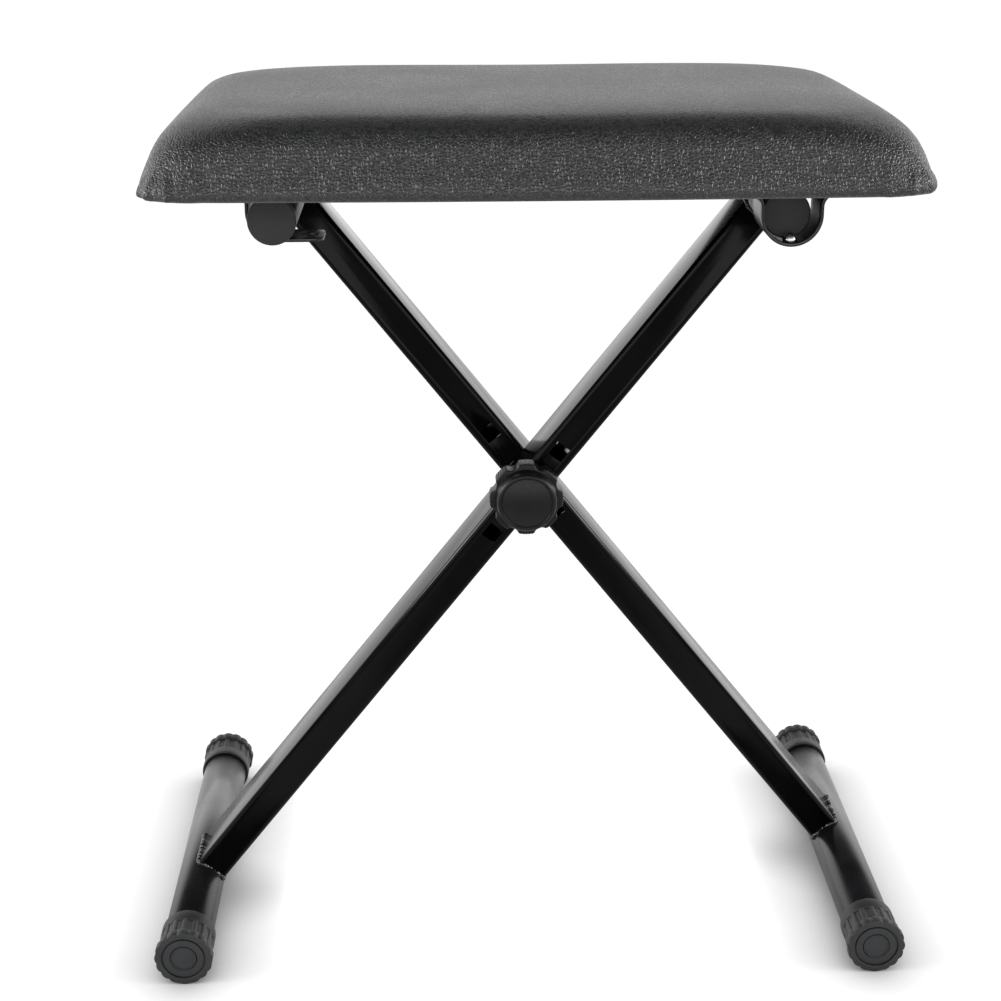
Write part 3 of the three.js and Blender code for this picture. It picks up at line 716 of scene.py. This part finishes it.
def foot_cap(name, cad_node, body, outward):
    """Moulded foot cap: scalloped flange, ribbed waist, smooth band, and a face with a ring groove and
    a raised disc. `outward` is the direction its face looks."""
    place = centre(cad_node)
    length = extent(cad_node).y
    radius = extent(cad_node).z / 2
    bore = FOOT_RADIUS + GAP
    face = place + outward * length / 2
    into = -outward
    body_profile = [
        (0, 0.45 * MM),
        (6.9 * MM, 0.45 * MM),
        *rounded_step(7.1 * MM, 0.3 * MM, 0.3 * MM, 180, 360, 4)[1:-1],
        (7.5 * MM, 0.9 * MM),
        (7.9 * MM, 0.35 * MM),
        *rounded_step(11.5 * MM, 0.65 * MM, 0.3 * MM, 270, 360, 3),
        (11.9 * MM, 1.3 * MM),
        (12.7 * MM, 1.3 * MM),
        *rounded_step(13.1 * MM, 0.3 * MM, 0.3 * MM, 180, 270, 3),
        (CAP_WAIST, 0.2 * MM),
        (CAP_WAIST, length - CAP_BAND),
        (CAP_BAND_RADIUS - 0.2 * MM, length - CAP_BAND + 0.3 * MM),
        (CAP_BAND_RADIUS, length - CAP_BAND + 0.7 * MM),
        (CAP_BAND_RADIUS, length - 0.8 * MM),
        *rounded_step(CAP_BAND_RADIUS - 0.6 * MM, length - 0.6 * MM, 0.6 * MM, 0, 90, 4),
        (bore + 0.2 * MM, length),
        (bore, length - 0.3 * MM),
        (bore, CAP_WALL),
        (0, CAP_WALL),
    ]
    shell = turned(name + "_shell", body_profile, face, axis=into)
    outline = []
    steps = 12
    for i in range(CAP_LOBES * steps):
        turn = 2 * math.pi * i / (CAP_LOBES * steps)
        dip = abs(math.cos(CAP_LOBES * (turn + math.pi / 2) / 2)) ** 0.7
        reach = radius - SCALLOP_DEPTH * (1 - dip)
        outline.append((reach * math.cos(turn), reach * math.sin(turn)))
    flange = prism(name + "_flange", outline, 0.25 * MM, CAP_FLANGE, into, into.cross(UP), UP)
    flange.data.transform(Matrix.Translation(face))
    past = CAP_FLANGE + 0.01
    section = [(0, -0.01), (CAP_HUB, -0.01), (CAP_HUB, past), (0, past)]
    flange = cut_away(flange, [turned(name + "_hub", section, face, axis=into)])
    flange = rounded_edges(flange, 0.5 * MM, angle=50, segments=3)
    rib_length = length - CAP_FLANGE - CAP_BAND + 1.2 * MM
    pattern = {
        "Groups": CAP_LOBES,
        "Ribs per group": 1,
        "Rib step": 0.0,
        "First angle": -math.pi / 2,
        "Ring radius": CAP_WAIST - 0.2 * MM,
        "Rib width": 3.4 * MM,
        "Rib height": 0.95 * MM,
        "Rib length": rib_length,
    }
    ribs = grown(name + "_ribs", RIBS, mesh_of_points(name + "_ribs", [(0, 0, 0)]), CAP_PLASTIC, pattern)
    rib_middle = face + into * (CAP_FLANGE - 0.6 * MM + rib_length / 2)
    ribs.data.transform(Matrix.Translation(rib_middle))
    made = joined(name, [smooth(shell, 40), smooth(flange, 40), smooth(ribs, 50)])
    finish_piece(smooth(made, 40), body, CAP_PLASTIC, [cad_node])


def tube_plug(name, cad_node, body, outward):
    """Push-in plug: a faintly domed disc with a rolled edge, and a hollow stem with three grip fins."""
    place = centre(cad_node)
    length = extent(cad_node).y
    radius = extent(cad_node).x / 2
    stem = TOP_RADIUS - TUBE_WALL - GAP
    head = 3 * MM
    edge = 0.9 * MM
    dome = 0.25 * MM
    profile = [
        (0, 0),
        (radius * 0.4, 0.03 * MM),
        (radius * 0.7, 0.09 * MM),
        (radius - edge - 0.4 * MM, dome),
        *rounded_step(radius - edge, dome + edge, edge, 270, 360, 6),
        (radius, head),
        (stem - 0.2 * MM, head),
    ]
    for fin in range(3):
        foot = head + (2 + 3.5 * fin) * MM
        profile += [(stem - 0.6 * MM, foot), (stem, foot + 0.6 * MM), (stem - 0.6 * MM, foot + 2 * MM)]
    profile += [(stem - 0.8 * MM, length), (stem - 1.6 * MM, length), (stem - 1.6 * MM, head), (0, head)]
    face = place + outward * length / 2
    made = turned(name, profile, face, axis=-outward)
    finish_piece(smooth(made, 40), body, CAP_PLASTIC, [cad_node])


for side, foot_body, top_body in (("left", "root", "rear_leg"), ("right", "rear_leg", "root")):
    for end, outward in (("front", -BACK), ("back", BACK)):
        foot_cap(f"{side}_{end}_foot_cap", f"{side}_foot_cap_{end}", foot_body, outward)
        tube_plug(f"{side}_{end}_plug", f"{side}_tube_plug_{end}", top_body, outward)


# ------------------------------------------------------------------ bolt, washers and knob


def plain_copy(name, cad_node, body, look, edge=0.0, angle=35):
    """A CAD node's shape with merged, smooth faces and, where asked, broken edges."""
    made = cad_copy(cad_node, name)
    if edge:
        made = rounded_edges(made, edge)
    finish_piece(smooth(made, angle), body, look, [cad_node])
    return made


SKIRT = 10.6 * MM
SCOOP_DEPTH = 2.4 * MM
KNOB_CORE = 15 * MM


def hand_knob():
    """Eight-lobed hand knob: round finger scoops between ribbed lobes, a shoulder, and a flat face
    inside a soft rim."""
    low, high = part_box("height_knob")
    hub = centre("height_knob")
    front, back = low.y, high.y
    hub.y = front
    radius = (high.x - low.x) / 2
    skirt_back = back - front
    skirt_front = back - SKIRT - front
    scoop = 4.6 * MM
    scoop_centre = radius + scoop - SCOOP_DEPTH
    lobes = 8
    steps = 48
    first = math.pi / lobes
    outline = []
    for i in range(lobes * steps):
        turn = 2 * math.pi * i / (lobes * steps)
        away = (turn - first + math.pi / lobes) % (2 * math.pi / lobes) - math.pi / lobes
        reach = radius - 0.35 * MM
        side = scoop_centre * math.sin(away)
        if abs(side) < scoop:
            scooped = scoop_centre * math.cos(away) - math.sqrt(scoop * scoop - side * side)
            reach = min(reach, scooped)
        outline.append((reach * math.cos(turn), reach * math.sin(turn)))
    skirt = prism("knob_skirt", outline, skirt_front, skirt_back, BACK, Vector((1, 0, 0)), UP)
    skirt.data.transform(Matrix.Translation(hub))
    core = turned("knob_core", [(0, 0), (KNOB_CORE, 0), (KNOB_CORE, 0.03), (0, 0.03)], hub)
    skirt = cut_away(skirt, [core])
    skirt = rounded_edges(skirt, 0.7 * MM, angle=50, segments=3)
    face_radius = 17.0 * MM
    rim = 1.8 * MM
    ring_line = 14.4 * MM
    pocket = 7.9 * MM
    thread = 4.25 * MM
    profile = [
        (0, 0.3 * MM),
        (ring_line - 0.4 * MM, 0.3 * MM),
        (ring_line, 0.6 * MM),
        (ring_line + 0.4 * MM, 0.3 * MM),
        *rounded_step(face_radius - rim, rim, rim, 255, 360, 10),
        (face_radius + 0.5 * MM, skirt_front - 1.4 * MM),
        (face_radius + 0.9 * MM, skirt_front - 0.3 * MM),
        (face_radius + 1.2 * MM, skirt_front + 0.5 * MM),
        (face_radius + 1.0 * MM, skirt_back - 1.2 * MM),
        (pocket, skirt_back - 1.2 * MM),
        (pocket, skirt_back - 6.9 * MM),
        (thread, skirt_back - 6.9 * MM),
        (thread, 3.4 * MM),
        (0, 3.4 * MM),
    ]
    cap = turned("knob_cap", profile, hub)
    pattern = {
        "Groups": lobes,
        "Ribs per group": 5,
        "Rib step": math.radians(4.3),
        "First angle": 0.0,
        "Ring radius": radius - 0.55 * MM,
        "Rib width": 0.95 * MM,
        "Rib height": 0.55 * MM,
        "Rib length": 9.0 * MM,
    }
    ribs = grown("knob_ribs", RIBS, mesh_of_points("knob_ribs", [(0, 0, 0)]), KNOB_PLASTIC, pattern)
    ribs.data.transform(Matrix.Translation(hub + BACK * (skirt_front + 5.3 * MM)))
    made = joined("height_knob_moulding", [smooth(skirt, 40), smooth(cap, 40), smooth(ribs, 50)])
    finish_piece(smooth(made, 40), "knob", KNOB_PLASTIC, ["height_knob"])


hand_knob()
plain_copy("carriage_bolt", "pivot_bolt", "rear_leg", ZINC)
plain_copy("knob_side_washer", "knob_washer", "knob", ZINC, 0.25 * MM)
plain_copy("captive_nut", "knob_nut", "knob", ZINC, 0.3 * MM)
plain_copy("leg_slip_washer", "leg_spacer_washer", "rear_leg", NYLON, 0.2 * MM)


# ------------------------------------------------------------------ seat brackets

STRAP = 1.5 * MM
STRAP_WIDTH = 30 * MM
STRAP_CORNER = 5 * MM
STRAP_BORE = 14.9 * MM
EAR = 17 * MM
PLATE = 2 * MM
LIP_HOLE = 3 * MM


def bent_strap(name, path, width, corner, lip_corner):
    """Sheet strip bent along a path of (x, z) points from `path`, centred on y = 0, with rounded ends."""
    path = [Vector(p) for p in path]
    lengths = [0.0]
    for a, b in zip(path, path[1:]):
        lengths.append(lengths[-1] + (b - a).length)
    total = lengths[-1]

    def at(distance):
        for i in range(len(path) - 1):
            if distance <= lengths[i + 1] + 1e-9:
                share = (distance - lengths[i]) / (lengths[i + 1] - lengths[i])
                return path[i].lerp(path[i + 1], share)
        return path[-1]

    stops = set(lengths)
    for radius, sign, base in ((corner, 1, 0.0), (lip_corner, -1, total)):
        stops |= {base + sign * radius * (1 - math.cos(math.pi / 2 * i / 6)) for i in range(7)}
    rows = 5
    bm = bmesh.new()
    columns = []
    for distance in sorted(stops):
        half = width / 2
        for radius, gap in ((corner, distance), (lip_corner, total - distance)):
            if gap < radius:
                bulge = math.sqrt(max(radius**2 - (radius - gap) ** 2, 0))
                half = min(half, width / 2 - radius + bulge)
        spot = at(distance)
        columns.append([bm.verts.new((spot.x, half * (2 * r / rows - 1), spot.y)) for r in range(rows + 1)])
    for a, b in zip(columns, columns[1:]):
        for r in range(rows):
            bm.faces.new((a[r], a[r + 1], b[r + 1], b[r]))
    bmesh.ops.remove_doubles(bm, verts=bm.verts, dist=0.01 * MM)
    made = to_object(name, bm)
    with_modifier(made, "SOLIDIFY", thickness=STRAP, offset=0.0, use_even_offset=True)
    return baked(made)


def base_plate(name, left, right, low, high):
    """Flat plate between the seat and the bracket's ears, its corners rounded."""
    outline = rounded_rect(right - left, STRAP_WIDTH, STRAP_CORNER)
    made = prism(name, outline, low, high, UP, Vector((1, 0, 0)), BACK)
    made.data.transform(Matrix.Translation(((left + right) / 2, 0, 0)))
    return made


def bracket(name, cad_node, hooked):
    """A strap bent round its seat tube and welded under its base plate."""
    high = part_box(cad_node)[1]
    axis = LEFT_TOP if hooked else RIGHT_TOP
    plate_low = high.z - PLATE
    ear = plate_low - STRAP / 2 + 0.05 * MM - axis.z
    bend = STRAP_BORE + STRAP / 2
    fillet = 7 * MM
    reach = bend + fillet + EAR
    if hooked:
        lip = high.x - axis.x
        path = [(-reach, ear), *rounded_step(-bend - fillet, ear - fillet, fillet, 90, 0, 8)]
        path += [*rounded_step(0, 0, bend, 180, 270, 16), (lip, -bend)]
        strap = bent_strap(name + "_strap", path, STRAP_WIDTH, STRAP_CORNER, 8 * MM)
        section = [(0, -0.03), (LIP_HOLE, -0.03), (LIP_HOLE, 0), (0, 0)]
        hole = turned(name + "_lip_hole", section, Vector((lip - 6.5 * MM, 0, 0)), 32, UP)
        strap = cut_away(strap, [hole])
        plate = base_plate(name + "_plate", -reach, 15 * MM, plate_low - axis.z, high.z - axis.z)
    else:
        slack = STRAP_BORE - extent("right_tube_plug_front").x / 2 - 0.35 * MM
        x, z = slack * math.cos(math.pi / 6), slack * math.sin(math.pi / 6)
        path = [(x - reach, ear), *rounded_step(x - bend - fillet, ear - fillet, fillet, 90, 0, 8)]
        path += rounded_step(x, z, bend, 180, 360, 32)
        path += [*rounded_step(x + bend + fillet, ear - fillet, fillet, 180, 90, 8), (x + reach, ear)]
        strap = bent_strap(name + "_strap", path, STRAP_WIDTH, STRAP_CORNER, STRAP_CORNER)
        plate = base_plate(name + "_plate", x - reach, x + reach, plate_low - axis.z, high.z - axis.z)
    strap = rounded_edges(strap, 0.3 * MM, angle=50)
    plate = rounded_edges(plate, 0.3 * MM, angle=50)
    made = joined(name, [smooth(strap, 40), smooth(plate, 40)])
    made.data.transform(Matrix.Translation((axis.x, centre(cad_node).y, axis.z)))
    finish_piece(smooth(made, 40), "seat", TUBE_COAT, [cad_node])


for end in ("front", "back"):
    bracket(f"open_hook_{end}", f"hook_bracket_{end}", True)
    bracket(f"swivel_clamp_{end}", f"swivel_bracket_{end}", False)
    plain_copy(f"stop_rivet_{end}", f"tube_stop_rivet_{end}", "seat", ZINC, angle=60)

screw_nodes = [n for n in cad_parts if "_screw_" in n]
SCREW_HEAD = 2.4 * MM
heads = [Vector((centre(n).x, centre(n).y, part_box(n)[0].z + SCREW_HEAD)) for n in sorted(screw_nodes)]
screw = {
    "Head radius": 4.7 * MM,
    "Head height": SCREW_HEAD,
    "Shank radius": 2.1 * MM,
    "Shank length": 14.5 * MM,
    "Recess width": 0.9 * MM,
}
screws = grown("bracket_screws", SCREWS, mesh_of_points("bracket_screws", heads), ZINC, screw)
finish_piece(smooth(screws, 45), "seat", ZINC, sorted(screw_nodes))


# ------------------------------------------------------------------ seat

SEAT_LOW, SEAT_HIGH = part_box("seat_cover")
SEAT_MIDDLE = (SEAT_LOW + SEAT_HIGH) / 2
SEAT_SIZE = SEAT_HIGH - SEAT_LOW
SEAT_CORNER = 18 * MM
SEAT_TOP_CORNER = 45 * MM
HEM = 24 * MM
# how far from a corner, along the seat, the top edge still rolls further down
CORNER_ROLL = 62 * MM
COVER = 1.2 * MM
PAD_VOXEL = 4 * MM


def pad_ring(inset, z, corner, steps=14, per_side=(48, 32)):
    """A level ring of the cushion, `inset` in from its widest outline."""
    half_x = SEAT_SIZE.x / 2 - inset
    half_y = SEAT_SIZE.y / 2 - inset

    def spot(sx, sy, turn):
        x = sx * (half_x - corner) + corner * math.cos(turn)
        y = sy * (half_y - corner) + corner * math.sin(turn)
        return Vector((x, y, z))

    points = []
    for k, signs in enumerate(CORNERS):
        points += [spot(*signs, math.pi / 2 * (k + i / steps)) for i in range(steps)]
        side = per_side[k % 2]
        turn = math.pi / 2 * (k + 1)
        start, end = spot(*signs, turn), spot(*CORNERS[(k + 1) % 4], turn)
        points += [start.lerp(end, i / side) for i in range(side)]
    return points


def pad_profile(lean, down, across):
    """The cover's section from the hem under the board, up the leaning side and over the top edge,
    which rolls over `down` high and `across` wide."""
    under_round = 4 * MM
    bottom, top = SEAT_LOW.z, SEAT_HIGH.z - 1.5 * MM
    profile = [(HEM, bottom + COVER), (HEM, bottom)]
    profile += [(HEM * (1 - i / 3) + under_round * i / 3, bottom) for i in (1, 2)]
    for i in range(5):
        turn = math.pi / 2 * i / 4
        profile.append((under_round * (1 - math.sin(turn)), bottom + under_round * (1 - math.cos(turn))))
    side_foot = bottom + under_round
    side_top = top - down
    for i in range(1, 5):
        profile.append((lean * i / 5, side_foot + (side_top - side_foot) * i / 5))
    for i in range(9):
        turn = math.pi / 2 * i / 8
        profile.append((lean + across * (1 - math.cos(turn)), top - down * (1 - math.sin(turn))))
    return profile


def profile_ring(inset, z):
    """A ring of the cushion whose corners open out with height."""
    rise = (z - SEAT_LOW.z) / SEAT_SIZE.z
    return pad_ring(inset - 1.0 * MM, z, SEAT_CORNER + (SEAT_TOP_CORNER - SEAT_CORNER) * rise)


def cushion_shell():
    """The cover before it is stretched: hem turned in under the board, sides leaning in, a rounded
    top edge that rolls further down towards each corner, and a flat top, as one closed skin."""
    bm = bmesh.new()
    rings = []
    along_sides = pad_profile(8 * MM, 18 * MM, 27 * MM)
    at_corners = pad_profile(3 * MM, 27 * MM, 36 * MM)
    for on_side, on_corner in zip(along_sides, at_corners):
        ring = []
        for side_point, corner_point in zip(profile_ring(*on_side), profile_ring(*on_corner)):
            from_end = abs(abs(side_point.x) - SEAT_SIZE.x / 2)
            from_front = abs(abs(side_point.y) - SEAT_SIZE.y / 2)
            from_corner = math.hypot(from_end, from_front)
            share = math.exp(-((from_corner / CORNER_ROLL) ** 2))
            ring.append(bm.verts.new(side_point.lerp(corner_point, share)))
        rings.append(ring)
    count = len(rings[0])
    for a, b in zip(rings, rings[1:]):
        for i in range(count):
            j = (i + 1) % count
            bm.faces.new((a[i], a[j], b[j], b[i]))
    inner = rings[-1]
    for step in range(1, 12):
        share = 1 - step / 12
        ring = [bm.verts.new((v.co.x * share, v.co.y * share, v.co.z)) for v in rings[-1]]
        for i in range(count):
            j = (i + 1) % count
            bm.faces.new((inner[i], inner[j], ring[j], ring[i]))
        inner = ring
    crown = bm.verts.new((0, 0, inner[0].co.z))
    for i in range(count):
        bm.faces.new((inner[i], inner[(i + 1) % count], crown))
    floor_ring = [bm.verts.new(p.co + UP * 0.3 * MM) for p in rings[0]]
    for i in range(count):
        j = (i + 1) % count
        bm.faces.new((rings[0][j], rings[0][i], floor_ring[i], floor_ring[j]))
    bm.faces.new(floor_ring)
    made = to_object("cushion", bm)
    made.data.transform(Matrix.Translation((SEAT_MIDDLE.x, SEAT_MIDDLE.y, 0)))
    return made


def coordinates(mesh):
    points = np.zeros(len(mesh.vertices) * 3)
    mesh.vertices.foreach_get("co", points)
    return points.reshape(-1, 3)


def evened(mesh, values, rounds=40):
    """Spreads a value carried by each vertex over its neighbours, as the stiff cover does."""
    edges = np.zeros(len(mesh.edges) * 2, dtype=int)
    mesh.edges.foreach_get("vertices", edges)
    start, end = edges.reshape(-1, 2).T
    near = np.bincount(start, minlength=len(values)) + np.bincount(end, minlength=len(values))
    for _ in range(rounds):
        total = np.bincount(start, values[end], len(values)) + np.bincount(end, values[start], len(values))
        values = total / np.maximum(near, 1)
    return values


CLOTH = {
    "quality": 6,
    "mass": 0.4,
    "tension_stiffness": 40,
    "compression_stiffness": 40,
    "shear_stiffness": 20,
    "bending_stiffness": 15,
    "use_pressure": True,
    "uniform_pressure_force": 4,
    "vertex_group_mass": "held",
}
CLOTH_STEPS = 20


def stretched(cushion):
    """Blows the cover up over its foam: voxel remesh, then cloth under pressure. The foam inside lets
    the cover sink by very little, and the cloth lets it rise by only a few millimetres."""
    with_modifier(cushion, "REMESH", mode="VOXEL", voxel_size=PAD_VOXEL, use_smooth_shade=True)
    cushion = baked(cushion)
    rest = coordinates(cushion.data)
    normals = np.array([v.normal for v in cushion.data.vertices], float).reshape(-1, 3)
    held = cushion.vertex_groups.new(name="held")
    low = SEAT_LOW.z + 3 * MM
    held.add([i for i, p in enumerate(rest) if p[2] < low], 1.0, "REPLACE")
    cloth = cushion.modifiers.new("cloth", "CLOTH")
    for name, value in CLOTH.items():
        setattr(cloth.settings, name, value)
    cloth.settings.effector_weights.gravity = 0
    cloth.collision_settings.use_collision = False
    scene = bpy.context.scene
    for step in range(1, CLOTH_STEPS + 1):
        scene.frame_set(step)
    depsgraph = bpy.context.evaluated_depsgraph_get()
    blown = coordinates(cushion.evaluated_get(depsgraph).to_mesh())
    swell = np.einsum("ij,ij->i", blown - rest, normals)
    sink, rise = 0.2 * MM, 3.0 * MM
    swell = evened(cushion.data, np.clip(swell, -sink, rise))
    cushion.modifiers.clear()
    cushion.vertex_groups.clear()
    cushion.data.vertices.foreach_set("co", (rest + normals * swell[:, None]).ravel())
    cushion.data.update()
    scene.frame_set(1)
    return cushion


def gathered(cushion):
    """Folds the cover's corners: each ends low down in a pulled knob with folds fanning up from it,
    pinched in just above, while the underside stays flat on the board."""
    points = coordinates(cushion.data)
    half = np.array([SEAT_SIZE.x / 2, SEAT_SIZE.y / 2])
    local = points[:, :2] - np.array([SEAT_MIDDLE.x, SEAT_MIDDLE.y])
    side = np.sign(local)
    from_corner = np.abs(local) - (half - SEAT_CORNER * 0.95)
    turn = np.arctan2(from_corner[:, 1], from_corner[:, 0])
    out = np.linalg.norm(np.maximum(from_corner, 0), axis=1)
    height = (points[:, 2] - SEAT_LOW.z) / SEAT_SIZE.z
    near = np.clip(out / (SEAT_CORNER * 0.8), 0, 1) ** 2
    off_middle = turn - math.pi / 4
    fold = 0.9 * np.cos(off_middle * 9.0) + 0.5 * np.cos(off_middle * 17.0 + 0.7 * side[:, 0])
    knob = np.exp(-((off_middle / 0.6) ** 2)) * np.exp(-(((height - 0.3) / 0.24) ** 2))
    pinch = np.exp(-((off_middle / 0.8) ** 2)) * np.exp(-(((height - 0.68) / 0.14) ** 2))
    low = np.exp(-((height / 0.42) ** 2))
    push = near * (low * fold * 0.7 + knob * 2.8 - pinch * 1.0) * MM
    outward = np.stack([np.cos(turn), np.sin(turn)], 1) * side
    points[:, :2] += outward * push[:, None]
    points[:, 2] = np.maximum(points[:, 2], SEAT_LOW.z)
    points[:, 2] -= near * np.exp(-((height / 0.3) ** 2)) * 1.2 * MM
    cushion.data.vertices.foreach_set("co", points.ravel())
    cushion.data.update()
    return cushion


def seat_cushion():
    cushion = cushion_shell()
    cushion = stretched(cushion)
    cushion.name = "seat_leather"
    with_modifier(cushion, "SMOOTH", factor=0.5, iterations=8)
    with_modifier(cushion, "SUBSURF", levels=1, render_levels=1)
    cushion = gathered(baked(cushion))
    inside = ["seat_cover", "seat_foam"]
    finish_piece(smooth(cushion, 180), "seat", LEATHER, inside)


seat_cushion()


def dust_cover():
    """Black fleece sheet over the board and hem, with staples round its edge."""
    low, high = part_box("seat_dust_cover")
    place = (low + high) / 2
    size = high - low
    outline = rounded_rect(size.x, size.y, SEAT_CORNER / 2, 8)
    made = prism("fleece_dust_cover", outline, low.z, high.z, UP, Vector((1, 0, 0)), BACK)
    made.data.transform(Matrix.Translation((place.x, place.y, 0)))
    made = rounded_edges(made, 0.15 * MM, angle=60, segments=1)
    finish_piece(smooth(made, 40), "seat", FLEECE, ["seat_dust_cover"])
    inset = 4 * MM
    path = rounded_rect(size.x - 2 * inset, size.y - 2 * inset, SEAT_CORNER / 2 - inset, 6)
    line = [Vector((place.x + a, place.y + b, low.z + 0.1 * MM)) for a, b in path + path[:1]]
    staple = {"Spacing": 26 * MM, "Crown": 10 * MM, "Wire": 0.45 * MM, "Skew": 0.22, "Seed": 11}
    path = mesh_of_points("hem_staples", line, edges=True)
    staples = grown("hem_staples", STAPLES, path, ZINC, staple)
    finish_piece(smooth(staples, 60), "seat", ZINC)


dust_cover()


# ------------------------------------------------------------------ what stays as the CAD made it

node_looks = {
    "foam": FOAM,
    "board": PLYWOOD,
    "cover": LEATHER,
    "dust": FLEECE,
    "knob_nut": ZINC,
    "height_knob": KNOB_PLASTIC,
    "cap": CAP_PLASTIC,
    "plug": CAP_PLASTIC,
    "spacer": NYLON,
    "bolt": ZINC,
    "washer": ZINC,
    "screw": ZINC,
    "rivet": ZINC,
}
for cad_node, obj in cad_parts.items():
    look = next((m for key, m in node_looks.items() if key in cad_node), LEG_COAT)
    obj.data.materials.clear()
    obj.data.materials.append(look)


# ------------------------------------------------------------------ floor, light and camera


# how bright the sky is low down behind, low down in front, and elsewhere
BACK_SKY = 1.85
FRONT_SKY = 2.9
DIM_SKY = 0.045
FLOOR_REACH = 14.0


def studio():
    """Pale floor that glows, a painted light that is bright under and behind the bench and fades in front,
    with soft painted contact shadows where ambient occlusion dims the glow, and a quiet sky: bright low down
    behind, dim overhead."""
    bm = bmesh.new()
    far = FLOOR_REACH
    corners = [(-far, -far, 0), (far, -far, 0), (far, far, 0), (-far, far, 0)]
    bm.faces.new([bm.verts.new(c) for c in corners])
    floor = to_object("studio_floor", bm)
    look, tree, surface, at = material("studio_floor", Roughness=0.9)
    surface.inputs["Base Color"].default_value = linear("#707070")
    surface.inputs["Specular IOR Level"].default_value = 0.1
    split = node(tree, "ShaderNodeSeparateXYZ", at)
    span = {"From Min": -0.75, "From Max": -0.16, "To Min": 0.3, "To Max": 1.0}
    fade = node(tree, "ShaderNodeMapRange", {"Value": (split, "Y")}, span, interpolation_type="SMOOTHSTEP")
    # Painted contact shadows: ambient occlusion dims the floor's painted glow under and beside the bench.
    near = node(tree, "ShaderNodeAmbientOcclusion", inputs={"Distance": 0.04}, samples=16)
    painted_contact_shadow = node(tree, "ShaderNodeMath", {0: (near, "AO")}, {1: 1.6}, operation="POWER")
    glow = node(tree, "ShaderNodeMath", {0: (painted_contact_shadow, "Value"), 1: (fade, "Result")}, operation="MULTIPLY")
    tree.links.new(glow.outputs["Value"], surface.inputs["Emission Strength"])
    surface.inputs["Emission Color"].default_value = grey(0.92)
    floor.data.materials.append(look)

    world = bpy.data.worlds.new("studio_sky")
    bpy.context.scene.world = world
    world.use_nodes = True
    tree = world.node_tree
    tree.nodes.clear()
    place = node(tree, "ShaderNodeTexCoord")
    split = node(tree, "ShaderNodeSeparateXYZ", {"Vector": (place, "Generated")})

    fades = {}
    for name, output, low, high, first, last in (
        ("behind", "Y", -0.2, 0.6, 0.0, 1.0),
        ("behind_low", "Z", 0.34, 0.62, 1.0, 0.0),
        ("front", "Y", -0.8, -0.4, 1.0, 0.0),
        ("front_low", "Z", 0.38, 0.52, 1.0, 0.0),
    ):
        span = {"From Min": low, "From Max": high, "To Min": first, "To Max": last}
        value = {"Value": (split, output)}
        made = node(tree, "ShaderNodeMapRange", value, span, interpolation_type="SMOOTHSTEP")
        fades[name] = (made, "Result")
    wall = node(tree, "ShaderNodeMath", {0: fades["behind"], 1: fades["behind_low"]}, operation="MULTIPLY")
    fill = node(tree, "ShaderNodeMath", {0: fades["front"], 1: fades["front_low"]}, operation="MULTIPLY")
    soft = node(tree, "ShaderNodeMath", {0: (fill, "Value")}, {1: FRONT_SKY}, operation="MULTIPLY")
    bright = node(tree, "ShaderNodeMath", {0: (wall, "Value")}, {1: BACK_SKY}, operation="MULTIPLY")
    both = node(tree, "ShaderNodeMath", {0: (bright, "Value"), 1: (soft, "Value")}, operation="ADD")
    base = node(tree, "ShaderNodeMath", {0: (both, "Value")}, {1: DIM_SKY}, operation="ADD")
    sky = node(tree, "ShaderNodeBackground", {"Strength": (base, "Value")})
    out = node(tree, "ShaderNodeOutputWorld")
    tree.links.new(sky.outputs["Background"], out.inputs["Surface"])
    sky.inputs["Color"].default_value = grey(1.0)

    def softbox(name, place, aim, size, power):
        data = bpy.data.lights.new(name, "AREA")
        data.shape = "RECTANGLE"
        data.size, data.size_y = size
        data.energy = power
        lamp = bpy.data.objects.new(name, data)
        bpy.context.scene.collection.objects.link(lamp)
        lamp.location = place
        lamp.rotation_mode = "QUATERNION"
        lamp.rotation_quaternion = (Vector(aim) - Vector(place)).to_track_quat("-Z", "Y")

    for name, x, power in (("left_softbox", -2.1, 60), ("right_softbox", 2.1, 55)):
        softbox(name, (x, -0.45, 1.12), (0, 0, 0.25), (1.2, 0.5), power)


def camera():
    """Long lens at about knee height above the seat, a little left of centre, looking down."""
    place = Vector((-0.04778, -1.11897, 0.62176))
    yaw, pitch, roll = (math.radians(a) for a in (1.46, 18.39, -0.25))
    forward = Vector((math.sin(yaw) * math.cos(pitch), math.cos(yaw) * math.cos(pitch), -math.sin(pitch)))
    right = forward.cross(UP).normalized()
    up = right.cross(forward)
    level, plumb = right, up
    right = level * math.cos(roll) + plumb * math.sin(roll)
    up = plumb * math.cos(roll) - level * math.sin(roll)
    data = bpy.data.cameras.new("bench_camera")
    data.sensor_width = 36
    data.lens = 70.3
    data.shift_x = 0.01035
    data.shift_y = -0.0035
    data.clip_end = 100
    view = bpy.data.objects.new("bench_camera", data)
    bpy.context.scene.collection.objects.link(view)
    turn = Matrix((right, up, -forward)).transposed()
    view.matrix_world = Matrix.Translation(place) @ turn.to_4x4()
    bpy.context.scene.camera = view


studio()
camera()
bpy.context.scene.view_settings.view_transform = "Standard"
